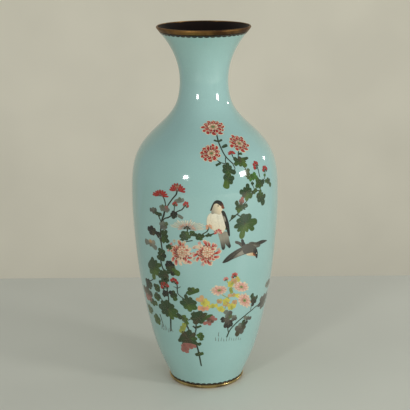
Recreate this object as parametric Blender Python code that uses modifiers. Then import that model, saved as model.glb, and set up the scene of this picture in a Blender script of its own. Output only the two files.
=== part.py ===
# A tall cloisonne vase: a raised copper body, a turquoise enamel ground with a picture of birds and
# chrysanthemums set into it as separate enamel cells, a dark enamel lining, and a metal rim at each end.
# Metres, +Z up. The origin is on the table under the middle of the vase, and -Y is the picture's front.

import math

import bpy
import bmesh
import numpy as np
from mathutils import Matrix, Vector

# Sizes of the vase, each set by itself
foot_radius = 0.0487
belly_radius = 0.0926
neck_radius = 0.03
mouth_radius = 0.0582
lower_body_height = 0.2411  # from the foot border to the widest place
shoulder_height = 0.142  # from the widest place to the narrowest
flare_height = 0.0615  # from the narrowest place to the rim's underside
rim_height = 0.0062
foot_ring_height = 0.0052
foot_ring_width = 0.0068
border_height = 0.003
wire_height = 0.0004
enamel_thickness = 0.0012
copper_thickness = 0.0012
lining_thickness = 0.0008
base_recess = 0.0022  # from the top of the foot ring to the enamel under the base
neck_joint_share = 0.7  # how far up the shoulder the neck section is brazed on
fit_gap = 0.0003
sides = 32

# Heights and depths that follow
foot_top = foot_ring_height + border_height + wire_height + 2 * fit_gap
belly_height = foot_top + lower_body_height
neck_height = belly_height + shoulder_height
wall_top = neck_height + flare_height
vase_height = wall_top + rim_height
wall_radius_at_mouth = mouth_radius - 0.55 * rim_height
copper_depth = enamel_thickness + fit_gap
lining_depth = copper_depth + copper_thickness + fit_gap
wall_depth = lining_depth + lining_thickness
neck_joint_height = belly_height + neck_joint_share * shoulder_height

# How the wall swells, as shares of the way up and of the way out, between the sizes above
lower_body_shape = [(0, 0), (0.045, 0.112), (0.13, 0.31), (0.27, 0.528), (0.42, 0.7), (0.58, 0.845),
                    (0.78, 0.952), (1, 1)]
shoulder_shape = [(0.2, 0.978), (0.35, 0.901), (0.46, 0.765), (0.57, 0.537), (0.68, 0.273), (0.79, 0.091),
                  (0.89, 0.024), (1, 0)]
flare_steps = 5
flare_power = 2.15

# The picture is drawn on a sheet that wraps the vase: degrees round from the front, and millimetres up
sheet_landmarks = (0, 9, 250, 392, 453.5)
sheet_belly_radius = 0.0926
sheet_lower_height = 0.241
sheet_shoulder_height = 0.142

colours = {
    "turquoise": (0.33, 0.60, 0.57),
    "black": (0.012, 0.014, 0.013),
    "brown": (0.035, 0.016, 0.010),
    "red": (0.50, 0.06, 0.035),
    "cream": (0.72, 0.60, 0.42),
    "pink": (0.72, 0.42, 0.32),
    "green": (0.045, 0.12, 0.035),
    "light_green": (0.12, 0.22, 0.05),
    "yellow": (0.50, 0.50, 0.16),
    "grey": (0.16, 0.15, 0.14),
    "stem": (0.03, 0.045, 0.03),
}

# One entry for each picture cell, from the back of the picture to the front. "at" is degrees round and
# sheet millimetres up, "size" is the width and height in millimetres, and "lean" turns it anticlockwise.
picture_cells = [
    dict(name="upper_leaf_tall", shape="leaf", at=(19.5, 291), size=(12, 25), lean=0, colour="green"),
    dict(name="upper_leaf_shoulder", shape="leaf", at=(33.5, 306), size=(16, 8), lean=-6, colour="green"),
    dict(name="upper_leaf_middle", shape="leaf", at=(47.5, 283), size=(12, 12), lean=10, colour="light_green"),
    dict(name="upper_leaf_edge", shape="leaf", at=(62, 275), size=(14, 8), lean=-25, colour="light_green"),
    dict(name="upper_leaf_broad", shape="leaf", at=(34.5, 268), size=(17, 19), lean=0, colour="green"),
    dict(name="upper_leaf_right", shape="leaf", at=(52, 259), size=(15, 20), lean=20, colour="green"),
    dict(name="upper_leaf_low", shape="leaf", at=(30, 252), size=(14, 12), lean=0, colour="green"),
    dict(name="branch_leaf_large", shape="leaf", at=(34.5, 229), size=(32, 27), lean=-8, colour="green"),
    dict(name="upper_blossom_top", shape="blossom", at=(14, 344), size=(27, 17), lean=0, colour="red"),
    dict(name="upper_blossom_left", shape="blossom", at=(6, 317), size=(26, 19), lean=0, colour="red"),
    dict(name="upper_blossom_right", shape="blossom", at=(39.5, 327), size=(25, 17), lean=0, colour="red"),
    dict(name="upper_bud_left", shape="bud", at=(47.5, 301), size=(11, 8), lean=15, colour="red"),
    dict(name="upper_bud_right", shape="bud", at=(59.5, 294), size=(11, 7), lean=0, colour="red"),
    dict(name="left_stem", shape="stem", at=(-35, 218), size=(3, 52), lean=5, colour="stem"),
    dict(name="left_leaf_upper", shape="leaf", at=(-42.5, 246), size=(14, 8), lean=-15, colour="grey"),
    dict(name="left_leaf_dark", shape="leaf", at=(-25, 244.5), size=(11, 8), lean=10, colour="black"),
    dict(name="left_leaf_brown", shape="leaf", at=(-46, 219), size=(15, 10), lean=0, colour="black"),
    dict(name="left_blossom_low", shape="bud", at=(-37.5, 269), size=(21, 8), lean=4, colour="red"),
    dict(name="left_blossom_high", shape="bud", at=(-22, 279.5), size=(18, 10), lean=-8, colour="red"),
    dict(name="left_bud_outer", shape="bud", at=(-14.5, 260), size=(8, 6), lean=-20, colour="red"),
    dict(name="fan_leaf_left", shape="leaf", at=(-15.5, 220), size=(15, 9), lean=-10, colour="green"),
    dict(name="fan_leaf_right", shape="leaf", at=(-5, 220), size=(12, 8), lean=-10, colour="green"),
    dict(name="fan_blossom", shape="fan", at=(-15, 233), size=(36, 14), lean=0, colour="cream"),
    dict(name="pair_blossom_left", shape="blossom", at=(-20.5, 198), size=(29, 31), lean=0, colour="pink"),
    dict(name="pair_blossom_right", shape="blossom", at=(0, 198), size=(27, 31), lean=0, colour="pink"),
    dict(name="perched_bird", shape="perched_bird", at=(9.5, 232), size=(27, 62), lean=0, colour="cream"),
    dict(name="perched_bird_wing", shape="folded_wing", at=(14.8, 235), size=(13, 35), lean=0, colour="black"),
    dict(name="flying_bird", shape="flying_bird", at=(37, 195), size=(76, 30), lean=0, colour="grey"),
    dict(name="middle_leaf_edge", shape="leaf", at=(-48, 167), size=(24, 30), lean=15, colour="green"),
    dict(name="middle_leaf_right", shape="leaf", at=(-31, 172), size=(19, 17), lean=-10, colour="green"),
    dict(name="middle_leaf_low", shape="leaf", at=(-33, 138), size=(22, 12), lean=0, colour="green"),
    dict(name="middle_bud_left", shape="bud", at=(-37, 151.5), size=(13, 8), lean=15, colour="red"),
    dict(name="lower_leaf_large", shape="leaf", at=(-37, 118), size=(32, 25), lean=-8, colour="green"),
    dict(name="lower_stem", shape="stem", at=(-35.8, 97), size=(3.5, 19), lean=4, colour="stem"),
    dict(name="centre_leaf_top", shape="leaf", at=(-15, 128), size=(20, 22), lean=0, colour="green"),
    dict(name="centre_leaf_spread", shape="leaf", at=(-3, 109), size=(33, 16), lean=-10, colour="green"),
    dict(name="centre_leaf_round", shape="leaf", at=(-5.5, 85), size=(10, 11), lean=0, colour="light_green"),
    dict(name="centre_leaf_low", shape="leaf", at=(-20, 77), size=(24, 16), lean=0, colour="green"),
    dict(name="centre_stem", shape="stem", at=(-7.2, 54), size=(4, 34), lean=4, colour="stem"),
    dict(name="pale_blossom_left", shape="blossom", at=(11.5, 149), size=(20, 11), lean=0, colour="pink"),
    dict(name="pale_blossom_right", shape="blossom", at=(33.5, 149.5), size=(22, 14), lean=-15, colour="pink"),
    dict(name="pale_blossom_low", shape="blossom", at=(39, 127), size=(22, 17), lean=-25, colour="pink"),
    dict(name="yellow_leaf_spread", shape="leaf", at=(17, 130), size=(30, 16), lean=0, colour="yellow"),
    dict(name="grey_leaf_high", shape="leaf", at=(21.5, 108), size=(16, 24), lean=0, colour="grey"),
    dict(name="grey_leaf_right", shape="leaf", at=(50.5, 123.5), size=(14, 17), lean=0, colour="grey"),
    dict(name="grey_leaf_low", shape="leaf", at=(39.5, 88), size=(18, 19), lean=-10, colour="grey"),
]


def clear_scene():
    for old in list(bpy.data.objects):
        bpy.data.objects.remove(old, do_unlink=True)


def new_collection(name):
    collection = bpy.data.collections.new(name)
    bpy.context.scene.collection.children.link(collection)
    return collection


def principled(name, colour, roughness, metallic):
    material = bpy.data.materials.new(name)
    material.use_nodes = True
    shader = material.node_tree.nodes["Principled BSDF"]
    shader.inputs["Base Color"].default_value = (*colour, 1)
    shader.inputs["Roughness"].default_value = roughness
    shader.inputs["Metallic"].default_value = metallic
    return material


def enamel(colour_name):
    return principled("enamel_" + colour_name, colours[colour_name], 0.12, 0)


# The wall's outer face is straight between these places, so every layer under it has the same facets
def wall_stations():
    places = []
    for up, out in lower_body_shape:
        height = foot_top + up * lower_body_height
        places.append((height, foot_radius + out * (belly_radius - foot_radius)))
    for up, out in shoulder_shape:
        height = belly_height + up * shoulder_height
        places.append((height, neck_radius + out * (belly_radius - neck_radius)))
    for step in range(1, flare_steps + 1):
        up = (step / flare_steps) ** 0.7
        spread = (wall_radius_at_mouth - neck_radius) * up**flare_power
        places.append((neck_height + up * flare_height, neck_radius + spread))
    return np.array(places)


stations = wall_stations()
station_slopes = np.gradient(stations[:, 1], stations[:, 0])


def wall_radius(height, depth=0.0):
    # the radius of the face that lies this deep under the wall's outer face
    surface = np.interp(height, stations[:, 0], stations[:, 1])
    slope = np.interp(height, stations[:, 0], station_slopes)
    return float(surface - depth * math.hypot(1, slope))


def add_object(name, mesh, material, collection):
    item = bpy.data.objects.new(name, mesh)
    collection.objects.link(item)
    if material:
        mesh.materials.append(material)
    return item


def turned(name, profile, material, collection):
    # a closed outline of (radius, height) turned round the axis; its outer side runs down
    outline = bmesh.new()
    points = [outline.verts.new((radius, 0, height)) for radius, height in profile]
    for first, second in zip(points, points[1:] + points[:1]):
        outline.edges.new((first, second))
    mesh = bpy.data.meshes.new(name)
    outline.to_mesh(mesh)
    outline.free()
    item = add_object(name, mesh, material, collection)
    screw = item.modifiers.new("turn", "SCREW")
    screw.steps = sides
    screw.render_steps = sides
    screw.use_merge_vertices = True
    screw.merge_threshold = 0.00001
    return item


def disc(name, radius, bottom, thickness, material, collection):
    mesh = bpy.data.meshes.new(name)
    shape = bmesh.new()
    place = Matrix.Translation((0, 0, bottom + thickness / 2))
    bmesh.ops.create_cone(shape, cap_ends=True, segments=sides, radius1=radius, radius2=radius,
                          depth=thickness, matrix=place)
    shape.to_mesh(mesh)
    shape.free()
    return add_object(name, mesh, material, collection)


def wall_layer(name, bottom, top, depth, thickness, material, collection):
    # one layer of the wall, between two heights, from this depth to this depth plus its thickness
    between = [height for height in stations[:, 0] if bottom + 1e-6 < height < top - 1e-6]
    heights = [top, *reversed(between), bottom]
    outside = [(wall_radius(height, depth), height) for height in heights]
    inside = [(wall_radius(height, depth + thickness), height) for height in reversed(heights)]
    return turned(name, outside + inside, material, collection)


def foot_ring_profile():
    outer = wall_radius(foot_top)
    inner = outer - foot_ring_width
    top = foot_ring_height
    chamfer = 0.0006
    lower = outer - 0.0024
    return [(outer - chamfer, top), (outer, top - chamfer), (outer - 0.0003, 0.55 * top),
            (lower + chamfer, 0.18 * top), (lower, 0), (inner + chamfer, 0),
            (inner, chamfer), (inner, top)]


def mouth_rim_profile():
    bottom = wall_top + fit_gap
    top = vase_height
    outer_foot = wall_radius(wall_top)
    inner_foot = wall_radius(wall_top, wall_depth)
    lip = mouth_radius
    inner_lip = lip - (outer_foot - inner_foot) * 0.62
    return [(inner_lip, top - 0.0008), (inner_lip + 0.0008, top), (lip - 0.0012, top),
            (lip, top - 0.0012), (lip - 0.0006, top - 0.0026), (outer_foot, bottom),
            (inner_foot, bottom)]


def build_vessel(collection):
    copper = principled("raised_copper", (0.72, 0.36, 0.20), 0.35, 1)
    brass = principled("gilt_brass", (0.78, 0.56, 0.20), 0.18, 1)
    bronze = principled("aged_bronze", (0.36, 0.22, 0.10), 0.38, 1)
    wire = principled("border_wire", (0.62, 0.50, 0.30), 0.25, 1)
    border_bottom = foot_ring_height + fit_gap
    base_bottom = foot_ring_height + base_recess
    copper_inside = copper_depth + copper_thickness
    plate_bottom = base_bottom + lining_thickness + fit_gap
    floor_bottom = plate_bottom + copper_thickness + fit_gap
    lining_bottom = floor_bottom + lining_thickness + fit_gap
    base_radius = wall_radius(foot_top, copper_inside) - fit_gap

    turned("foot_ring", foot_ring_profile(), brass, collection)
    turned("mouth_rim", mouth_rim_profile(), bronze, collection)
    joints = [border_bottom, belly_height, neck_joint_height, wall_top + fit_gap]
    for name, low, high in zip(("copper_lower_body", "copper_shoulder", "copper_neck"), joints, joints[1:]):
        wall_layer(name, low, high - fit_gap, copper_depth, copper_thickness, copper, collection)
    disc("base_plate", base_radius, plate_bottom, copper_thickness, copper, collection)
    disc("base_enamel", base_radius, base_bottom, lining_thickness, enamel("brown"), collection)
    disc("floor_enamel", base_radius, floor_bottom, lining_thickness, enamel("brown"), collection)
    wall_layer("lining_enamel", lining_bottom, wall_top, lining_depth, lining_thickness,
               enamel("brown"), collection)

    border_top = border_bottom + border_height - 2 * fit_gap
    wire_bottom = border_top + fit_gap
    ground_bottom = wire_bottom + wire_height + fit_gap
    wall_layer("foot_border", border_bottom, border_top, 0, enamel_thickness, enamel("black"), collection)
    wall_layer("foot_border_wire", wire_bottom, wire_bottom + wire_height, 0, enamel_thickness,
               wire, collection)
    rim_border_bottom = wall_top - border_height + fit_gap
    rim_wire_bottom = rim_border_bottom - fit_gap - wire_height
    ground_top = rim_wire_bottom - fit_gap
    wall_layer("mouth_border", rim_border_bottom, wall_top, 0, enamel_thickness, enamel("black"), collection)
    wall_layer("mouth_border_wire", rim_wire_bottom, rim_wire_bottom + wire_height, 0, enamel_thickness,
               wire, collection)
    return wall_layer("ground_enamel", ground_bottom, ground_top, 0, enamel_thickness,
                      enamel("turquoise"), collection)


# Flat outlines, anticlockwise, in a box one wide and one high round the middle
def ring_of_points(count, reach):
    points = []
    for step in range(count):
        turn = 2 * math.pi * step / count
        far = reach(turn) / 2
        points.append((far * math.cos(turn), far * math.sin(turn)))
    return points


def blossom_outline():
    return ring_of_points(18, lambda turn: 0.91 + 0.09 * math.cos(9 * turn))


def bud_outline():
    return ring_of_points(10, lambda turn: 1.0)


def leaf_outline():
    # five lobes and a stalk end
    return ring_of_points(15, lambda turn: 0.86 + 0.14 * math.cos(5 * (turn - math.pi / 2)))


def fan_outline():
    # the open rays of a chrysanthemum seen from the side, over its small cup
    rays = [(0.5, -0.1), (0.42, 0.1), (0.47, 0.3), (0.3, 0.3), (0.27, 0.48), (0.12, 0.4), (0, 0.5)]
    left = [(-across, up) for across, up in reversed(rays[:-1])]
    return rays + left + [(-0.12, -0.3), (-0.05, -0.5), (0.05, -0.5), (0.12, -0.3)]


def stem_outline():
    return [(-0.4, 0.5), (-0.25, 0.15), (-0.5, -0.2), (-0.35, -0.5), (0.5, -0.5), (0.3, -0.2), (0.5, 0.15),
            (0.3, 0.5)]


def perched_bird_outline():
    # beak to the right, tail feathers down to the right
    return [(0.0, 0.5), (0.14, 0.46), (0.24, 0.36), (0.16, 0.3), (0.3, 0.12), (0.36, -0.15), (0.5, -0.47),
            (0.4, -0.5), (0.33, -0.32), (0.22, -0.5), (0.12, -0.48), (0.05, -0.2), (-0.3, -0.12),
            (-0.48, 0.02), (-0.48, 0.2), (-0.25, 0.3), (-0.22, 0.42)]


def folded_wing_outline():
    return [(-0.4, 0.48), (-0.1, 0.5), (0.2, 0.25), (0.4, -0.1), (0.5, -0.5), (0.25, -0.42), (0.0, -0.1),
            (-0.2, 0.15)]


def flying_bird_outline():
    # left wing swept back, tail up, right wing out, head down to the right
    return [(-0.5, -0.37), (-0.42, -0.14), (-0.18, 0.2), (-0.12, 0.24), (-0.27, 0.45), (-0.13, 0.5),
            (0.0, 0.28), (0.2, 0.32), (0.5, 0.14), (0.34, -0.02), (0.16, -0.06), (0.29, -0.44),
            (0.2, -0.42), (0.05, -0.24), (-0.2, -0.24), (-0.36, -0.44)]


outlines = {
    "blossom": blossom_outline,
    "bud": bud_outline,
    "leaf": leaf_outline,
    "fan": fan_outline,
    "stem": stem_outline,
    "perched_bird": perched_bird_outline,
    "folded_wing": folded_wing_outline,
    "flying_bird": flying_bird_outline,
}


def picture_scale():
    # the picture shrinks or grows with the part of the vase that holds it
    return min(belly_radius / sheet_belly_radius, lower_body_height / sheet_lower_height,
               shoulder_height / sheet_shoulder_height)


def cell_frame(cell):
    # a frame on the wall at the cell's middle: across, up the wall, and out of the wall
    round_angle = math.radians(cell["at"][0])
    real_landmarks = (0, foot_top, belly_height, neck_height, wall_top)
    height = float(np.interp(cell["at"][1], sheet_landmarks, real_landmarks))
    slope = float(np.interp(height, stations[:, 0], station_slopes))
    away = Vector((math.sin(round_angle), -math.cos(round_angle), 0))
    across = Vector((math.cos(round_angle), math.sin(round_angle), 0))
    up = (away * slope + Vector((0, 0, 1))).normalized()
    out = across.cross(up)
    place = away * wall_radius(height) + Vector((0, 0, height))
    frame = Matrix((across, up, out)).transposed().to_4x4()
    return Matrix.Translation(place) @ frame @ Matrix.Rotation(math.radians(cell["lean"]), 4, "Z")


def cell_points(cell, clearance):
    # the outline at its real size, each point moved out by the clearance
    scale = picture_scale() / 1000
    width, tall = cell["size"]
    points = [Vector((x * width * scale, y * tall * scale)) for x, y in outlines[cell["shape"]]()]
    area = sum(a.cross(b) for a, b in zip(points, points[1:] + points[:1]))
    facing = 1 if area > 0 else -1
    grown = []
    for before, here, after in zip(points[-1:] + points[:-1], points, points[1:] + points[:1]):
        first = (here - before).normalized()
        second = (after - here).normalized()
        side_first = Vector((first.y, -first.x)) * facing
        side_second = Vector((second.y, -second.x)) * facing
        bisector = (side_first + side_second).normalized()
        reach = clearance / max(bisector.dot(side_first), 0.4)
        grown.append(here + bisector * reach)
    return grown


def cell_cutter(cell, clearance, collection):
    # the flat outline pushed through the enamel, kept as a hidden cutter
    inward = 0.016
    outward = 0.004
    name = cell["name"] + ("_pocket" if clearance else "_plug")
    curve = bpy.data.curves.new(name, "CURVE")
    curve.dimensions = "2D"
    curve.fill_mode = "BOTH"
    curve.extrude = (inward + outward) / 2
    spline = curve.splines.new("POLY")
    points = cell_points(cell, clearance)
    spline.points.add(len(points) - 1)
    for point, place in zip(spline.points, points):
        point.co = (place.x, place.y, 0, 1)
    spline.use_cyclic_u = True
    flat = bpy.data.objects.new(name + "_outline", curve)
    collection.objects.link(flat)
    flat.matrix_world = cell_frame(cell) @ Matrix.Translation((0, 0, (outward - inward) / 2))
    bpy.context.view_layer.update()
    seen = flat.evaluated_get(bpy.context.evaluated_depsgraph_get())
    mesh = bpy.data.meshes.new_from_object(seen)
    welded = bmesh.new()
    welded.from_mesh(mesh)
    bmesh.ops.remove_doubles(welded, verts=welded.verts, dist=0.000001)
    bmesh.ops.recalc_face_normals(welded, faces=welded.faces)
    welded.to_mesh(mesh)
    welded.free()
    cutter = add_object(name, mesh, None, collection)
    cutter.matrix_world = flat.matrix_world.copy()
    cutter.hide_render = True
    cutter.display_type = "WIRE"
    bpy.data.objects.remove(flat, do_unlink=True)
    return cutter


def cut(item, operation, cutter):
    boolean = item.modifiers.new(operation.lower() + "_" + cutter.name, "BOOLEAN")
    boolean.operation = operation
    boolean.solver = "EXACT"
    boolean.object = cutter


def near(cell, other):
    first = cell_frame(cell).translation
    second = cell_frame(other).translation
    reach = (math.hypot(*cell["size"]) + math.hypot(*other["size"])) / 2 * picture_scale() / 1000
    return (first - second).length < reach + fit_gap


def build_picture(ground, collection, cutters):
    # each cell is a plug of the ground's own layer, cut clear by the cells drawn over it
    whole = bpy.data.meshes.new_from_object(
        ground.evaluated_get(bpy.context.evaluated_depsgraph_get()))
    whole.materials.clear()
    pockets = [cell_cutter(cell, fit_gap, cutters) for cell in picture_cells]
    for number, cell in enumerate(picture_cells):
        plug = add_object(cell["name"], whole.copy(), enamel(cell["colour"]), collection)
        cut(plug, "INTERSECT", cell_cutter(cell, 0, cutters))
        for later in range(number + 1, len(picture_cells)):
            if near(cell, picture_cells[later]):
                cut(plug, "DIFFERENCE", pockets[later])
        cut(ground, "DIFFERENCE", pockets[number])


def main():
    clear_scene()
    vase = new_collection("cloisonne_vase")
    cutters = new_collection("cutters")
    ground = build_vessel(vase)
    bpy.context.view_layer.update()
    build_picture(ground, vase, cutters)
    for item in vase.objects:
        item.data.shade_smooth()
        item.data.set_sharp_from_angle(angle=math.radians(40))


main()
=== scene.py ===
import bpy
import bmesh
from math import atan2, cos, hypot, pi, radians, sin
from mathutils import Matrix, Vector
import numpy as np


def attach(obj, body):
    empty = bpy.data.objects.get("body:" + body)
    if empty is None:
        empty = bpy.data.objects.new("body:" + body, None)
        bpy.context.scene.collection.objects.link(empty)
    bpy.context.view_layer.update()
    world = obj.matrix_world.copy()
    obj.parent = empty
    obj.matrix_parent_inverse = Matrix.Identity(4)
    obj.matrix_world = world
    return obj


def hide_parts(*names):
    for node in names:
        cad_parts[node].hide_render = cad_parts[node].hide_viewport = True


# A cloisonne vase: metal rims, scalloped black borders, a turquoise enamel ground and a picture of
# chrysanthemums and two birds in separate enamel cells with thin wires round them

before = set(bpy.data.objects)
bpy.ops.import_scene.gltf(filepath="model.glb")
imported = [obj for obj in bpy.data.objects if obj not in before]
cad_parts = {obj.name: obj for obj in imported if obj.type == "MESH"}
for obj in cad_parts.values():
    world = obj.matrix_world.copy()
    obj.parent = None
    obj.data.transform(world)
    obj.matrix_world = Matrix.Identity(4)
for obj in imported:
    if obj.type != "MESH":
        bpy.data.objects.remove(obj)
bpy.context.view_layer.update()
print("frame loaded")


def linear(r, g, b):
    def one(value):
        value /= 255
        return value / 12.92 if value <= 0.04045 else ((value + 0.055) / 1.055) ** 2.4
    return (one(r), one(g), one(b))


def newMaterial(name, colour, roughness=0.2, metallic=0.0):
    material = bpy.data.materials.new(name)
    material.use_nodes = True
    shader = material.node_tree.nodes["Principled BSDF"]
    shader.inputs["Base Color"].default_value = (*colour, 1)
    shader.inputs["Roughness"].default_value = roughness
    shader.inputs["Metallic"].default_value = metallic
    return material, material.node_tree.nodes, material.node_tree.links, shader


def addNode(nodes, kind, **values):
    node = nodes.new(kind)
    for key, value in values.items():
        setattr(node, key, value)
    return node


def noiseNode(nodes, links, coords, scale, detail=3.0, stretch=(1, 1, 1)):
    mapping = nodes.new("ShaderNodeMapping")
    mapping.inputs["Scale"].default_value = stretch
    links.new(coords, mapping.inputs["Vector"])
    noise = nodes.new("ShaderNodeTexNoise")
    noise.inputs["Scale"].default_value = scale
    noise.inputs["Detail"].default_value = detail
    links.new(mapping.outputs["Vector"], noise.inputs["Vector"])
    return noise.outputs["Fac"]


def rampNode(nodes, links, factor, stops):
    ramp = nodes.new("ShaderNodeValToRGB")
    while len(ramp.color_ramp.elements) < len(stops):
        ramp.color_ramp.elements.new(0.5)
    for element, (place, colour) in zip(ramp.color_ramp.elements, stops):
        element.position = place
        element.color = (*colour, 1) if len(colour) == 3 else colour
    links.new(factor, ramp.inputs["Fac"])
    return ramp.outputs["Color"]


def mixNode(nodes, links, factor, first, second, kind="MIX"):
    mix = addNode(nodes, "ShaderNodeMix", data_type="RGBA", blend_type=kind)
    for socket, value in ((mix.inputs[0], factor), (mix.inputs[6], first), (mix.inputs[7], second)):
        if hasattr(value, "links"):
            links.new(value, socket)
        elif isinstance(value, (int, float)):
            socket.default_value = value
        else:
            socket.default_value = (*value, 1)
    return mix.outputs[2]


def bumpNode(nodes, links, shader, height, strength, distance):
    bump = nodes.new("ShaderNodeBump")
    bump.inputs["Strength"].default_value = strength
    bump.inputs["Distance"].default_value = distance
    links.new(height, bump.inputs["Height"])
    links.new(bump.outputs["Normal"], shader.inputs["Normal"])


wall = dict(
    footTop=0.0093, bellyHeight=0.2503, neckHeight=0.3923, top=0.4538, lip=0.46,
    footRadius=0.0487, bellyRadius=0.0926, neckRadius=0.03, mouthRadius=0.0548, lipRadius=0.0582,
    lower=[(0, 0), (0.045, 0.112), (0.13, 0.31), (0.27, 0.528), (0.42, 0.7), (0.58, 0.845), (0.78, 0.952),
           (1, 1)],
    shoulder=[(0.2, 0.978), (0.35, 0.901), (0.46, 0.765), (0.57, 0.537), (0.68, 0.273), (0.79, 0.091),
              (0.89, 0.024), (1, 0)],
    flarePower=2.15, flareSteps=6,
    enamel=0.0012, copper=0.0012, lining=0.0008, gap=0.0003,
)


def makeWallTable():
    # the places where the wall's radius is set, joined by an even curve
    w = wall
    places = [(w["footTop"] + up * (w["bellyHeight"] - w["footTop"]),
               w["footRadius"] + out * (w["bellyRadius"] - w["footRadius"])) for up, out in w["lower"]]
    places += [(w["bellyHeight"] + up * (w["neckHeight"] - w["bellyHeight"]),
                w["neckRadius"] + out * (w["bellyRadius"] - w["neckRadius"])) for up, out in w["shoulder"]]
    for step in range(1, w["flareSteps"] + 1):
        up = step / w["flareSteps"]
        places.append((w["neckHeight"] + up * (w["top"] - w["neckHeight"]),
                       w["neckRadius"] + (w["mouthRadius"] - w["neckRadius"]) * up ** w["flarePower"]))
    places.insert(0, (w["footTop"] - 0.004, w["footRadius"] - 0.0012))
    z, r = np.array(places).T
    heights = np.linspace(z[0], z[-1], 1600)
    slopes = np.gradient(r, z)
    radii = np.empty_like(heights)
    for i, height in enumerate(heights):
        k = min(max(int(np.searchsorted(z, height)) - 1, 0), len(z) - 2)
        span = z[k + 1] - z[k]
        t = (height - z[k]) / span
        radii[i] = ((2 * t**3 - 3 * t**2 + 1) * r[k] + (t**3 - 2 * t**2 + t) * span * slopes[k]
                    + (-2 * t**3 + 3 * t**2) * r[k + 1] + (t**3 - t**2) * span * slopes[k + 1])
    for _ in range(500):  # even out the curvature between the places
        radii[1:-1] = (radii[:-2] + 2 * radii[1:-1] + radii[2:]) / 4
    return heights, radii


wallHeights, wallRadii = makeWallTable()
wallSlopes = np.gradient(wallRadii, wallHeights)


def wallRadius(height, depth=0.0):
    slope = np.interp(height, wallHeights, wallSlopes)
    return float(np.interp(height, wallHeights, wallRadii) - depth * hypot(1, slope))


def onWall(turn, height, lift=0.0):
    # a point on the wall, this far round from the front and this far out of the enamel
    radius = float(np.interp(height, wallHeights, wallRadii))
    slope = float(np.interp(height, wallHeights, wallSlopes))
    steep = hypot(1, slope)
    radius += lift / steep
    return Vector((radius * sin(turn), -radius * cos(turn), height - lift * slope / steep))


def newObject(name, data):
    item = bpy.data.objects.new(name, data)
    bpy.context.scene.collection.objects.link(item)
    return item


def meshObject(name, bm, material):
    mesh = bpy.data.meshes.new(name)
    bm.to_mesh(mesh)
    bm.free()
    mesh.materials.append(material)
    return newObject(name, mesh)


def smoothFaces(bm):
    # outward normals and smooth shading all over
    bmesh.ops.recalc_face_normals(bm, faces=bm.faces)
    for face in bm.faces:
        face.smooth = True


def finishPiece(name, bm, material, slot, *replaced, sharp=None):
    piece = meshObject(name, bm, material)
    if sharp:
        piece.data.set_sharp_from_angle(angle=radians(sharp))
    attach(piece, "root")
    if replaced:
        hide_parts(*replaced)
    return piece


def turnedShape(profile, segments):
    # a closed outline of (radius, height), spun right round
    bm = bmesh.new()
    points = [bm.verts.new((radius, 0, height)) for radius, height in profile]
    edges = [bm.edges.new((a, b)) for a, b in zip(points, points[1:] + points[:1])]
    bmesh.ops.spin(bm, geom=points + edges, cent=(0, 0, 0), axis=(0, 0, 1), angle=2 * pi,
                   steps=segments, use_merge=True)
    smoothFaces(bm)
    return bm


def roundedProfile(corners, radius, steps=4):
    # each corner of the outline becomes a short arc
    rounded = []
    count = len(corners)
    for i, corner in enumerate(corners):
        here = Vector(corner[:2])
        reach = corner[2] if len(corner) > 2 else radius
        before = Vector(corners[i - 1][:2]) - here
        after = Vector(corners[(i + 1) % count][:2]) - here
        reach = min(reach, before.length * 0.48, after.length * 0.48)
        start = here + before.normalized() * reach
        end = here + after.normalized() * reach
        for step in range(steps + 1):
            t = step / steps
            rounded.append(tuple(start * (1 - t) ** 2 + here * 2 * t * (1 - t) + end * t**2))
    return rounded


def layerProfile(bottom, top, depth, thickness, spacing=0.0025):
    count = max(2, int((top - bottom) / spacing))
    heights = [bottom + (top - bottom) * i / count for i in range(count + 1)]
    outside = [(wallRadius(z, depth), z) for z in reversed(heights)]
    inside = [(wallRadius(z, depth + thickness), z) for z in heights]
    return outside + inside


def turquoiseEnamel():
    material, nodes, links, shader = newMaterial("turquoiseEnamel", linear(150, 186, 179), 0.09)
    coords = nodes.new("ShaderNodeTexCoord").outputs["Object"]
    cloud = noiseNode(nodes, links, coords, 9.0, 4.0)
    base = rampNode(nodes, links, cloud, [(0.3, linear(144, 181, 173)), (0.7, linear(154, 190, 183))])
    fine = noiseNode(nodes, links, coords, 900.0, 2.0)
    grain = rampNode(nodes, links, fine, [(0.35, (0.93, 0.93, 0.93)), (0.65, (1, 1, 1))])
    links.new(mixNode(nodes, links, 0.6, base, grain, "MULTIPLY"), shader.inputs["Base Color"])
    ripple = noiseNode(nodes, links, coords, 16.0, 1.0)
    bumpNode(nodes, links, shader, ripple, 0.02, 0.002)
    shader.inputs["Coat Weight"].default_value = 0.35
    shader.inputs["Coat Roughness"].default_value = 0.03
    return material


def darkEnamel(name, colour, roughness, specular=0.5):
    material, nodes, links, shader = newMaterial(name, colour, roughness)
    shader.inputs["Specular IOR Level"].default_value = specular
    coords = nodes.new("ShaderNodeTexCoord").outputs["Object"]
    cloud = noiseNode(nodes, links, coords, 45.0, 4.0)
    darker = tuple(value * 0.6 for value in colour)
    lighter = tuple(value * 1.5 for value in colour)
    links.new(rampNode(nodes, links, cloud, [(0.3, darker), (0.7, lighter)]), shader.inputs["Base Color"])
    bumpNode(nodes, links, shader, noiseNode(nodes, links, coords, 160.0, 3.0), 0.12, 0.0008)
    return material


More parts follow.
